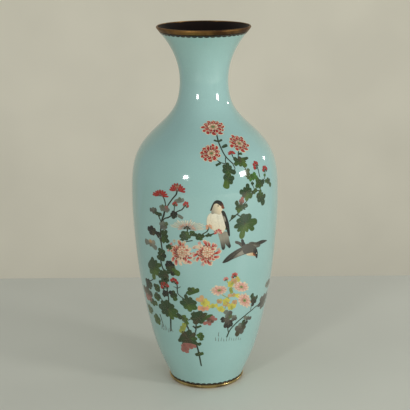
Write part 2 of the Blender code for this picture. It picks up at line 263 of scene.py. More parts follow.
def agedMetal(name, colour, tarnish, roughness, patchScale, patchStart, patchEnd):
    material, nodes, links, shader = newMaterial(name, colour, roughness, 1.0)
    coords = nodes.new("ShaderNodeTexCoord").outputs["Object"]
    patches = noiseNode(nodes, links, coords, patchScale, 5.0)
    links.new(rampNode(nodes, links, patches, [(patchStart, tarnish), (patchEnd, colour)]),
              shader.inputs["Base Color"])
    rough = rampNode(nodes, links, patches, [(patchStart, (roughness + 0.2,) * 3),
                                             (patchEnd, (roughness,) * 3)])
    links.new(rough, shader.inputs["Roughness"])
    bumpNode(nodes, links, shader, noiseNode(nodes, links, coords, 420.0, 4.0), 0.10, 0.0006)
    return material


def enamelPaint():
    # the cells' own colours, with the grain of ground enamel and a clear gloss
    material, nodes, links, shader = newMaterial("pictureEnamel", (0.2, 0.2, 0.2), 0.11)
    paint = addNode(nodes, "ShaderNodeVertexColor", layer_name="tone").outputs["Color"]
    coords = nodes.new("ShaderNodeTexCoord").outputs["Object"]
    grain = rampNode(nodes, links, noiseNode(nodes, links, coords, 520.0, 3.0),
                     [(0.3, (0.86, 0.86, 0.86)), (0.7, (1.0, 1.0, 1.0))])
    mottled = mixNode(nodes, links, 0.8, paint, grain, "MULTIPLY")
    cloud = rampNode(nodes, links, noiseNode(nodes, links, coords, 130.0, 2.0),
                     [(0.35, (0.9, 0.9, 0.9)), (0.65, (1.0, 1.0, 1.0))])
    links.new(mixNode(nodes, links, 0.8, mottled, cloud, "MULTIPLY"), shader.inputs["Base Color"])
    bumpNode(nodes, links, shader, noiseNode(nodes, links, coords, 240.0, 3.0), 0.1, 0.0006)
    shader.inputs["Coat Weight"].default_value = 0.3
    shader.inputs["Coat Roughness"].default_value = 0.05
    return material


turquoise = turquoiseEnamel()
pictureEnamel = enamelPaint()
blackEnamel = darkEnamel("blackEnamel", linear(26, 28, 24), 0.12)
brownEnamel = darkEnamel("brownEnamel", linear(20, 7, 3), 0.55, 0.12)
copperMetal = agedMetal("raisedCopper", (0.72, 0.36, 0.20), (0.35, 0.15, 0.09), 0.32, 60.0, 0.35, 0.6)
footBrass = agedMetal("footBrass", (0.50, 0.37, 0.15), (0.20, 0.13, 0.05), 0.19, 40.0, 0.34, 0.5)
rimBronze = agedMetal("rimBronze", (0.34, 0.18, 0.055), (0.10, 0.045, 0.018), 0.3, 34.0, 0.36, 0.64)
wireMetal = agedMetal("wireMetal", (0.32, 0.25, 0.15), (0.14, 0.11, 0.07), 0.4, 300.0, 0.3, 0.6)
print("materials made")


vesselMake = dict(
    copperFoot=0.0055, neckSeam=0.3497, copperSteps=96,
    groundBottom=0.0060, groundTop=0.4534, groundSteps=240,
    lipInset=0.0026, lipDrop=0.0007, liningSteps=160,
    baseRecess=0.0074, baseLining=0.0008, basePlate=0.0012, discSteps=128, discRounding=0.00025,
)


def buildVessel():
    w, v = wall, vesselMake
    copperDepth = w["enamel"] + w["gap"]
    liningDepth = copperDepth + w["copper"] + w["gap"]
    plateBottom = v["baseRecess"] + v["baseLining"] + w["gap"]
    floorTop = v["baseRecess"] + 2 * v["baseLining"] + v["basePlate"] + 2 * w["gap"]
    discRadius = wallRadius(w["footTop"], copperDepth + w["copper"]) - w["gap"]

    ground = turnedShape(layerProfile(v["groundBottom"], v["groundTop"], 0, w["enamel"], 0.0022),
                         v["groundSteps"])
    finishPiece("turquoiseGround", ground, turquoise, "turquoise_enamel", "ground_enamel", sharp=35)
    lip = (w["lipRadius"] - v["lipInset"], w["lip"] - v["lipDrop"])
    inner = layerProfile(floorTop + w["gap"], w["top"], liningDepth, w["lining"], 0.003)
    inner = [lip] + inner + [(lip[0] - w["lining"], lip[1] - 0.0002)]  # up to the lip's inner edge
    lining = turnedShape(inner, v["liningSteps"])
    finishPiece("darkLining", lining, brownEnamel, "lining_enamel", "lining_enamel", sharp=35)

    sections = [("copperLowerBody", "copper_lower_body", v["copperFoot"], w["bellyHeight"]),
                ("copperShoulder", "copper_shoulder", w["bellyHeight"], v["neckSeam"]),
                ("copperNeck", "copper_neck", v["neckSeam"], w["top"])]
    for name, node, low, high in sections:
        section = turnedShape(layerProfile(low, high - w["gap"], copperDepth, w["copper"], 0.005),
                              v["copperSteps"])
        finishPiece(name, section, copperMetal, "copper", node, sharp=35)

    discs = [("baseEnamel", v["baseRecess"], v["baseLining"], brownEnamel, "lining_enamel", "base_enamel"),
             ("basePlate", plateBottom, v["basePlate"], copperMetal, "copper", "base_plate"),
             ("floorEnamel", floorTop - v["baseLining"], v["baseLining"], brownEnamel, "lining_enamel",
              "floor_enamel")]
    for name, bottom, thickness, material, slot, node in discs:
        bm = bmesh.new()
        place = Matrix.Translation((0, 0, bottom + thickness / 2))
        bmesh.ops.create_cone(bm, cap_ends=True, segments=v["discSteps"], radius1=discRadius,
                              radius2=discRadius, depth=thickness, matrix=place)
        rims = [edge for edge in bm.edges if len({round(vert.co.z, 6) for vert in edge.verts}) == 1]
        bmesh.ops.bevel(bm, geom=rims, offset=v["discRounding"], segments=2, profile=0.5, material=-1,
                        affect="EDGES", clamp_overlap=True)
        finishPiece(name, bm, material, slot, node, sharp=35)
    print("vessel made")


footWork = dict(width=0.0068, top=0.0052, bulge=0.0002, sole=0.0024, waist=0.0004, shoulder=0.0007, steps=200)
rimWork = dict(inset=0.0023, crown=0.0021, flat=0.0010, drop=0.0013, under=0.0028, steps=220)


def buildRims():
    # outlines of (radius, height, rounding), turned into the two metal rims
    w, f, r = wall, footWork, rimWork
    outer, top = w["footRadius"], f["top"]
    inner = outer - f["width"]
    corners = [(outer - f["shoulder"], top, 0.0004), (outer + f["bulge"], 0.8 * top, 0.0012),
               (outer - f["waist"], 0.42 * top, 0.0012), (outer - f["sole"], 0, 0.0008),
               (inner, 0, 0.0006), (inner, top, 0.0004)]
    ring = turnedShape(roundedProfile(corners, 0.0005, 5), f["steps"])
    finishPiece("footRing", ring, footBrass, "foot_brass", "foot_ring", sharp=60)

    depth = w["enamel"] + w["copper"] + w["lining"] + 2 * w["gap"]
    lip, top, seat = w["lipRadius"], w["lip"], w["top"] + 0.0003
    corners = [(lip - r["inset"], top - 0.0011, 0.0005), (lip - r["crown"], top, 0.0005),
               (lip - r["flat"], top, 0.0006), (lip, top - r["drop"], 0.0007),
               (lip - 0.0007, top - r["under"], 0.0012), (wallRadius(w["top"]) + 0.0003, seat, 0.0004),
               (wallRadius(w["top"], depth) + w["lining"] + w["gap"], seat, 0.0003)]
    rim = turnedShape(roundedProfile(corners, 0.0005, 5), r["steps"])
    finishPiece("mouthRim", rim, rimBronze, "rim_bronze", "mouth_rim", sharp=60)
    print("rims made")


studio = dict(tableBack=0.384, tableFront=-2.2, wallBack=2.5, wallMiddle=0.2, wallHeight=2.6, halfWidth=3.2,
              skyColour=(0.96, 0.98, 1.0), skyStrength=0.42)


def stagePiece(name, size, turn, place, colour, roughness):
    bm = bmesh.new()
    bmesh.ops.create_grid(bm, x_segments=1, y_segments=1, size=1)
    bmesh.ops.scale(bm, vec=(*size, 1), verts=bm.verts)
    bmesh.ops.rotate(bm, cent=(0, 0, 0), matrix=Matrix.Rotation(turn, 3, "X"), verts=bm.verts)
    bmesh.ops.translate(bm, vec=place, verts=bm.verts)
    material, nodes, links, shader = newMaterial(name + "Finish", colour, roughness)
    coords = nodes.new("ShaderNodeTexCoord").outputs["Object"]
    soft = noiseNode(nodes, links, coords, 3.0, 2.0)
    lighter = tuple(min(1, value * 1.04) for value in colour)
    darker = tuple(value * 0.97 for value in colour)
    links.new(rampNode(nodes, links, soft, [(0.35, darker), (0.65, lighter)]), shader.inputs["Base Color"])
    meshObject(name, bm, material)


def buildStage():
    s = studio
    depth, middle = (s["tableBack"] - s["tableFront"]) / 2, (s["tableBack"] + s["tableFront"]) / 2
    stagePiece("table", (s["halfWidth"], depth), 0, (0, middle, 0), linear(212, 213, 200), 0.5)
    stagePiece("backdrop", (s["halfWidth"], s["wallHeight"]), pi / 2, (0, s["wallBack"], s["wallMiddle"]),
               linear(244, 238, 214), 0.9)


lamps = [
    dict(name="leftSoftbox", place=(-1.02, -1.80, 0.72), target=(0, 0, 0.3), size=(0.25, 0.20), power=9),
    dict(name="rightSoftbox", place=(1.80, -0.95, 0.68), target=(0, 0, 0.25), size=(0.36, 0.27), power=13),
    dict(name="edgeLamp", place=(1.36, 0.70, 0.62), target=(0, 0, 0.3), size=(0.06, 0.06), power=1.2),
    dict(name="overheadFill", place=(1.3, -1.9, 0.42), target=(0, 0, 0.1), size=(1.0, 0.7), power=14,
         colour=(0.97, 0.98, 1.0), glossy=False),
]


def buildLight():
    for settings in lamps:
        lamp = bpy.data.lights.new(settings["name"], "AREA")
        lamp.shape = "RECTANGLE"
        lamp.size, lamp.size_y = settings["size"]
        lamp.energy = settings["power"]
        lamp.color = settings.get("colour", (1, 1, 1))
        item = newObject(settings["name"], lamp)
        item.location = settings["place"]
        aim = Vector(settings["target"]) - Vector(settings["place"])
        item.rotation_euler = aim.to_track_quat("-Z", "Y").to_euler()
        item.visible_glossy = settings.get("glossy", True)
    world = bpy.data.worlds.new("studio")
    bpy.context.scene.world = world
    world.use_nodes = True
    sky = world.node_tree.nodes["Background"]
    sky.inputs["Color"].default_value = (*studio["skyColour"], 1)
    sky.inputs["Strength"].default_value = studio["skyStrength"]


view = dict(distance=1.322, height=0.604, pitch=15.68, roll=0.46, lens=94.67)


def buildCamera():
    data = bpy.data.cameras.new("camera")
    data.lens = view["lens"]
    data.sensor_width = 36
    item = newObject("camera", data)
    tilt = Matrix.Rotation(radians(90 - view["pitch"]), 4, "X")
    roll = Matrix.Rotation(radians(-view["roll"]), 4, "Z")
    item.matrix_world = Matrix.Translation((0, -view["distance"], view["height"])) @ (tilt @ roll)
    bpy.context.scene.camera = item
    bpy.context.scene.view_settings.view_transform = "Standard"


def curvePlaces(points, steps):
    # even curves between the middle two of each four points
    curve = []
    for a, b, c, d in zip(points, points[1:], points[2:], points[3:]):
        for step in range(steps):
            t = step / steps
            curve.append(tuple(0.5 * (2 * b + (c - a) * t + (2 * a - 5 * b + 4 * c - d) * t**2
                                      + (3 * b - a - 3 * c + d) * t**3)))
    return curve


def smoothLoop(points, steps=3):
    # a closed curve through the points
    points = [Vector(point) for point in points]
    return curvePlaces(points[-1:] + points + points[:2], steps)


def smoothLine(points, steps=4):
    # an open curve through the points
    ends = [Vector(point) for point in (points[0], *points, points[-1])]
    return curvePlaces(ends, steps) + [tuple(points[-1])]


def mmPerDegree(height):
    return wallRadius(height / 1000) * 1000 * pi / 180


def riseShare(height):
    # how much height one mm along the wall gains
    return 1 / hypot(1, float(np.interp(height / 1000, wallHeights, wallSlopes)))


def fromLocal(at, x, y):
    # a place this many mm right and up the wall from a (degrees, mm) place
    return (at[0] + x / mmPerDegree(at[1]), at[1] + y * riseShare(at[1]))


def toLocal(at, place):
    return Vector(((place[0] - at[0]) * mmPerDegree(at[1]), (place[1] - at[1]) / riseShare(at[1])))


def blendTone(first, second, share):
    share = min(max(share, 0), 1)
    return tuple(a + (b - a) * share for a, b in zip(first, second))


cellWork = dict(proud=0.00007, sunk=0.0004, grid=0.0024, wire=0.00007, wireSink=0.00004)


def pictureTurn(turn):
    # where a turn of the picture, in radians, lies on the wall: it is drawn in a little at the right
    return radians(float(np.interp(turn * 180 / pi, (-90, 0, 14, 40, 90), (-87.8, 0, 13.6, 37.4, 83.6))))


class Spray:
    # the cells and wires of one part of the picture, kept until its meshes are made;
    # every place in the picture is (degrees round from the front, mm up)
    def __init__(self):
        self.cells = {}
        self.wires = []

    def cell(self, kind, outline, paint, level=0, wired=True):
        self.cells.setdefault(kind, []).append((outline, paint, level))
        if wired:
            self.wires.append((outline, True, level))

    def wire(self, line, level=1):
        self.wires.append((line, False, level))


def buildCells(name, cells, slot, replaced):
    c = cellWork
    middle = wallRadius(sum(outline[0][1] for outline, _, _ in cells) / len(cells) / 1000)
    bm = bmesh.new()
    which = bm.faces.layers.int.new("cell")
    for i, (outline, paint, level) in enumerate(cells):
        face = bm.faces.new([bm.verts.new((radians(turn) * middle, height / 1000, 0))
                             for turn, height in outline])
        face[which] = i
        if face.calc_area() > 0 and face.normal.z < 0:
            face.normal_flip()
    bm.normal_update()
    for axis, normal in enumerate(((1, 0, 0), (0, 1, 0))):  # cut fine enough to bend round the wall
        places = [vert.co[axis] for vert in bm.verts]
        cut = (min(places) // c["grid"] + 1) * c["grid"]
        while cut < max(places):
            bmesh.ops.bisect_plane(bm, geom=bm.verts[:] + bm.edges[:] + bm.faces[:], dist=1e-6,
                                   plane_co=Vector(normal) * cut, plane_no=normal)
            cut += c["grid"]
    for face in bm.faces:
        if face.normal.z < 0:
            face.normal_flip()
    made = bmesh.ops.extrude_face_region(bm, geom=bm.faces[:], use_keep_orig=True)
    below = {item for item in made["geom"] if isinstance(item, bmesh.types.BMVert)}
    tones = bm.loops.layers.float_color.new("tone")
    for face in bm.faces:
        paint = cells[face[which]][1]
        for loop in face.loops:
            place = loop.vert.co
            tone = paint(place.x / middle * 180 / pi, place.y * 1000) if callable(paint) else paint
            loop[tones] = (*tone, 1)
    for vert in bm.verts:
        level = cells[vert.link_faces[0][which]][2]
        lift = -c["sunk"] if vert in below else c["proud"] * (1 + level)
        vert.co = onWall(pictureTurn(vert.co.x / middle), vert.co.y, lift)
    smoothFaces(bm)
    finishPiece(name, bm, pictureEnamel, slot, *replaced, sharp=40)


def buildWires(name, lines, replaced=(), turned=float):
    c = cellWork
    curve = bpy.data.curves.new(name + "Line", "CURVE")
    curve.dimensions = "3D"
    curve.bevel_depth = c["wire"]
    curve.bevel_resolution = 0
    curve.use_fill_caps = True
    for line, closed, level in lines:
        points = [onWall(turned(radians(turn)), height / 1000, c["proud"] * (1 + level) - c["wireSink"])
                  for turn, height in line]
        spline = curve.splines.new("POLY")
        spline.points.add(len(points) - 1)
        for point, place in zip(spline.points, points):
            point.co = (*place, 1)
        spline.use_cyclic_u = closed
    holder = newObject(name + "Holder", curve)
    bpy.context.view_layer.update()
    mesh = bpy.data.meshes.new_from_object(holder.evaluated_get(bpy.context.evaluated_depsgraph_get()))
    bpy.data.objects.remove(holder)
    bm = bmesh.new()
    bm.from_mesh(mesh)
    bpy.data.meshes.remove(mesh)
    bmesh.ops.remove_doubles(bm, verts=bm.verts, dist=1e-6)
    smoothFaces(bm)
    for face in bm.faces:
        face.material_index = 0
    finishPiece(name, bm, wireMetal, "wire", *replaced)


def finishSpray(name, spray, slots):
    # slots: kind of cell -> (slot, the nodes it stands for)
    for kind, cells in spray.cells.items():
        slot, replaced = slots[kind]
        buildCells(name + kind[0].upper() + kind[1:], cells, slot, replaced)
    buildWires(name + "Wires", spray.wires, turned=pictureTurn)
    print(name, "made,", sum(len(cells) for cells in spray.cells.values()), "cells")


tone = {key: linear(*value) for key, value in dict(
    dark=(44, 66, 34), deep=(28, 38, 22), green=(56, 84, 30), olive=(74, 100, 34), bright=(66, 112, 34),
    blue=(42, 68, 38), pale=(100, 122, 68), brown=(66, 62, 40), black=(28, 26, 22), grey=(84, 82, 74),
    mist=(112, 118, 104), moss=(84, 98, 62), stem=(36, 56, 42), rose=(156, 98, 88), tan=(200, 158, 110),
    yellow=(204, 196, 84), lime=(150, 160, 74), orange=(216, 156, 118), cream=(220, 204, 168),
    white=(222, 218, 194), red=(164, 44, 36), deepRed=(116, 28, 24), pink=(212, 136, 124),
    blush=(218, 174, 156), salmon=(208, 138, 110), soot=(44, 44, 38), slate=(84, 82, 72),
    rust=(116, 60, 34), ash=(146, 142, 124),
).items()}


def leafCell(spray, kind, at, tips, level=0, valley=0.86):
    # a leaf of round lobes; each tip is (degrees, mm, lobe width in mm, tone name)
    lobes = []
    for turn, height, width, shade in tips:
        reach = toLocal(at, (turn, height))
        lobes.append((atan2(reach.y, reach.x), reach.length, width / 2, tone[shade]))
    lobes.sort(key=lambda lobe: lobe[0])
    count = len(lobes)
    outline = []
    for i, (angle, length, half, shade) in enumerate(lobes):
        before = (angle - lobes[i - 1][0]) % (2 * pi)
        after = (lobes[(i + 1) % count][0] - angle) % (2 * pi)
        along = Vector((cos(angle), sin(angle)))
        across = Vector((-along.y, along.x))
        sideBefore = min(1.25 * half, 0.72 * length * abs(sin(min(before, pi) / 2)))
        sideAfter = min(1.25 * half, 0.72 * length * abs(sin(min(after, pi) / 2)))
        outline.append(along * length * 0.80 - across * sideBefore * 0.98)
        outline.append(along * length * 0.97 - across * sideBefore * 0.62)
        outline.append(along * length * 1.03)
        outline.append(along * length * 0.97 + across * sideAfter * 0.62)
        outline.append(along * length * 0.80 + across * sideAfter * 0.98)
        nextLength = lobes[(i + 1) % count][1]
        dip = valley * min(length, nextLength) * min(1, 1.9 / after)
        turn = angle + after / 2
        outline.append(Vector((cos(turn), sin(turn))) * dip)
    smooth = smoothLoop(outline, 2)

    def paint(turn, height):
        place = toLocal(at, (turn, height))
        best = sorted(((place - Vector((cos(a), sin(a))) * l * 0.62).length / (0.5 * l + h), s)
                      for a, l, h, s in lobes)
        share = best[1][0] / max(best[0][0] + best[1][0], 1e-6)
        mixed = blendTone(best[1][1], best[0][1], 0.5 + 2.2 * (share - 0.5))
        return blendTone(mixed, tone["deep"], 0.28 * max(0, 1 - place.length / 5))

    spray.cell(kind, [fromLocal(at, *point) for point in smooth], paint, level)
    for angle, length, half, shade in lobes:
        if length > 3.2:  # a vein
            spray.wire([fromLocal(at, cos(angle) * length * k, sin(angle) * length * k)
                        for k in (0.0, 0.3, 0.6, 0.86)], level + 0.6)


def stemCell(spray, kind, route, width, shade="stem", level=-0.35, taper=0.75):
    # a band along a route of (degrees, mm) places
    curve = smoothLine(route, 4)
    left, right = [], []
    for i, place in enumerate(curve):
        before = curve[max(i - 1, 0)]
        after = curve[min(i + 1, len(curve) - 1)]
        along = (toLocal(place, after) - toLocal(place, before)).normalized()
        across = Vector((-along.y, along.x)) * width / 2 * (1 - (1 - taper) * i / len(curve))
        left.append(fromLocal(place, *across))
        right.append(fromLocal(place, *(-across)))
    spray.cell(kind, left + right[::-1], tone[shade], level)


def addLeaves(spray, kind, leaves, level=0, fullFrom=8):
    # a leaf with this many tips or more has shallow valleys
    for at, tips in leaves:
        leafCell(spray, kind, at, tips, level, 0.92 if len(tips) >= fullFrom else 0.86)


def addStems(spray, stems, shade="stem", kind="stem"):
    for route, width in stems:
        stemCell(spray, kind, route, width, shade)


def petalOutline(at, centre, angle, start, end, half, size, tilt, curl=0.0):
    # a petal in the flower's ellipse: size is its half width and half height in mm
    shape = [(0, -0.34), (0.3, -0.72), (0.66, -1.0), (0.9, -0.66), (1.0, 0), (0.9, 0.66), (0.66, 1.0),
             (0.3, 0.72), (0, 0.34)]
    outline = []
    for along, side in shape:
        reach = start + (end - start) * along
        turn = angle + half * side * (0.45 + 0.55 * along) + curl * along
        x = size[0] * reach * cos(turn) + centre[0]
        y = size[1] * reach * sin(turn) + centre[1]
        outline.append(fromLocal(at, x * cos(tilt) - y * sin(tilt), x * sin(tilt) + y * cos(tilt)))
    return smoothLoop(outline, 2)


def flowerRing(spray, kind, at, size, petals, start, end, colours, tilt=0.0, sweep=(0, 360), level=0.0,
               fill=0.92, curl=0.0, centre=(0, 0), seed=0, shading=None, edge=None, uneven=0.06):
    # one ring of petals; colours are (base, middle, tip) tones; an edge is (kind, tone) of a wider
    # petal below each one
    rng = np.random.default_rng(seed)
    first, last = radians(sweep[0]), radians(sweep[1])
    full = abs(sweep[1] - sweep[0]) >= 359
    step = (last - first) / (petals if full else petals - 1)
    tilt = radians(tilt)
    for i in range(petals):
        angle = first + step * (i + (0.5 if full else 0)) + float(rng.uniform(-0.1, 0.1)) * step
        reach = end * float(rng.uniform(1 - 1.3 * uneven, 1 + 0.7 * uneven))
        tones = [tone[key] for key in (shading(angle) if shading else colours)]
        strength = float(rng.uniform(0.88, 1.1))
        outline = petalOutline(at, centre, angle, start, reach, step / 2 * fill, size, tilt, curl)
        if edge:
            below = petalOutline(at, centre, angle, start * 0.9, reach * 1.06, step / 2 * (fill + 0.22), size,
                                 tilt, curl)
            spray.cell(edge[0], below, tone[edge[1]], level - 0.3, False)

        def paint(turn, height, tones=tones, reach=reach, strength=strength):
            place = toLocal(at, (turn, height))
            x = place.x * cos(tilt) + place.y * sin(tilt) - centre[0]
            y = place.y * cos(tilt) - place.x * sin(tilt) - centre[1]
            share = (hypot(x / size[0], y / size[1]) - start) / (reach - start)
            if share < 0.6:
                mixed = blendTone(tones[0], tones[1], share / 0.6)
            else:
                mixed = blendTone(tones[1], tones[2], (share - 0.6) / 0.34)
            return tuple(value * strength for value in mixed)

        spray.cell(kind, outline, paint, level)


def flowerDisc(spray, kind, at, size, shade, tilt=0.0, level=-0.2, share=1.0, points=20, wired=False,
               centre=(0, 0)):
    tilt = radians(tilt)
    outline = []
    for i in range(points):
        turn = 2 * pi * i / points
        x = size[0] * share * cos(turn) + centre[0]
        y = size[1] * share * sin(turn) + centre[1]
        outline.append(fromLocal(at, x * cos(tilt) - y * sin(tilt), x * sin(tilt) + y * cos(tilt)))
    spray.cell(kind, outline, tone[shade], level, wired)


def redBlossom(spray, at, size, tilt, seed, petals=12, core=(0, 0), coreShare=0.34):
    # red petals with pale edges round a pale cup of small ones
    edge = ("cream", "cream")
    flowerDisc(spray, "red", at, size, "deepRed", tilt, -0.5, 0.8)
    flowerRing(spray, "red", at, size, petals, 0.42, 1.0, ("deepRed", "red", "red"), tilt, level=0.2,
               curl=0.24, seed=seed, fill=0.78, edge=edge, uneven=0.14)
    flowerRing(spray, "red", at, size, petals - 3, 0.28, 0.74, ("deepRed", "red", "red"), tilt, level=0.8,
               curl=-0.26, centre=core, seed=seed + 1, fill=0.76, edge=edge, uneven=0.12)
    flowerDisc(spray, "cream", at, size, "salmon", tilt, 1.1, coreShare * 0.94, 18, True, core)
    flowerRing(spray, "cream", at, size, 9, 0.12, coreShare, ("pale", "cream", "cream"), tilt, level=1.5,
               centre=core, seed=seed + 2, fill=0.86)
    flowerDisc(spray, "cream", at, size, "pale", tilt, 1.9, coreShare * 0.36, 10, True, core)


def sideBlossom(spray, kind, at, size, tilt, seed, petals=9, colours=("deepRed", "red", "red"),
                sweep=(4, 176), layers=2):
    # a flower seen from the side: fans of petals above its base
    for layer in range(layers):
        flowerRing(spray, kind, at, size, petals - 2 * layer, 0.02, 1.0 - 0.24 * layer, colours, tilt, sweep,
                   layer * 0.5, 1.15, seed=seed + layer)


def budCells(spray, at, size, tilt, seed, colours=("deepRed", "red", "red")):
    flowerRing(spray, "red", at, size, 4, 0.02, 1.0, colours, tilt, (20, 160), 0.0, 1.3, seed=seed)
    flowerRing(spray, "green", at, (size[0] * 0.62, size[1] * 0.46), 3, 0.0, 1.0, ("stem", "dark", "dark"),
               tilt, (10, 170), 0.6, 0.9, centre=(0, -0.12 * size[1]), seed=seed + 3)


def outlineCell(spray, kind, outline, paint, level=0, steps=3):
    spray.cell(kind, smoothLoop(outline, steps), tone[paint] if isinstance(paint, str) else paint, level)


def fade(first, second, start, end):
    # a tone that turns from one to another between two (degrees, mm) places
    def paint(turn, height):
        here = toLocal(start, (turn, height))
        way = toLocal(start, end)
        return blendTone(tone[first], tone[second], here.dot(way) / way.length_squared)
    return paint


borderWork = dict(steps=10, rows=(0.34, 0.67, 1.0), sunk=0.0007, proud=0.00006, roundness=0.55)
borders = [
    dict(name="mouthBorder", plain=0.4524, edge=wall["top"] - 0.0002, reach=-0.0014, count=46,
         node="mouth_border", wireNode="mouth_border_wire"),
    dict(name="footBorder", plain=0.0068, edge=0.0056, reach=0.0015, count=43,
         node="foot_border", wireNode="foot_border_wire"),
]


def buildBorders():
    # black bands with a row of scallops: at the mouth they hang, at the foot they stand
    work = borderWork
    for b in borders:
        segments = b["count"] * work["steps"]
        bm = bmesh.new()
        bmesh.ops.create_circle(bm, cap_ends=False, segments=segments, radius=1)
        shares = {vert: 0.0 for vert in bm.verts}
        edges = bm.edges[:]
        for share in work["rows"]:
            made = bmesh.ops.extrude_edge_only(bm, edges=edges)["geom"]
            edges = [item for item in made if isinstance(item, bmesh.types.BMEdge)]
            shares.update({item: share for item in made if isinstance(item, bmesh.types.BMVert)})
        crest = []
        for vert, share in shares.items():
            turn = atan2(vert.co.x, -vert.co.y)
            phase = (turn / (2 * pi) * b["count"]) % 1
            scallop = b["plain"] + b["reach"] * abs(sin(pi * phase)) ** work["roundness"]
            if share == 1.0:
                crest.append((turn, scallop))
            vert.co = (turn, b["edge"] + (scallop - b["edge"]) * share, share)
        made = bmesh.ops.extrude_face_region(bm, geom=bm.faces[:], use_keep_orig=True)["geom"]
        below = {item for item in made if isinstance(item, bmesh.types.BMVert)}
        for vert in bm.verts:
            vert.co = onWall(vert.co.x, vert.co.y, -work["sunk"] if vert in below else work["proud"])
        smoothFaces(bm)
        finishPiece(b["name"], bm, blackEnamel, "black_enamel", b["node"], sharp=40)
        line = [(turn * 180 / pi, height * 1000) for turn, height in sorted(crest)]
        middle = [(i * 360 / segments, (b["plain"] + b["edge"]) * 500) for i in range(0, segments, 2)]
        buildWires(b["name"] + "Wires", [(line, True, 0.4), (middle, True, 0.4)], (b["wireNode"],))
    print("borders made")


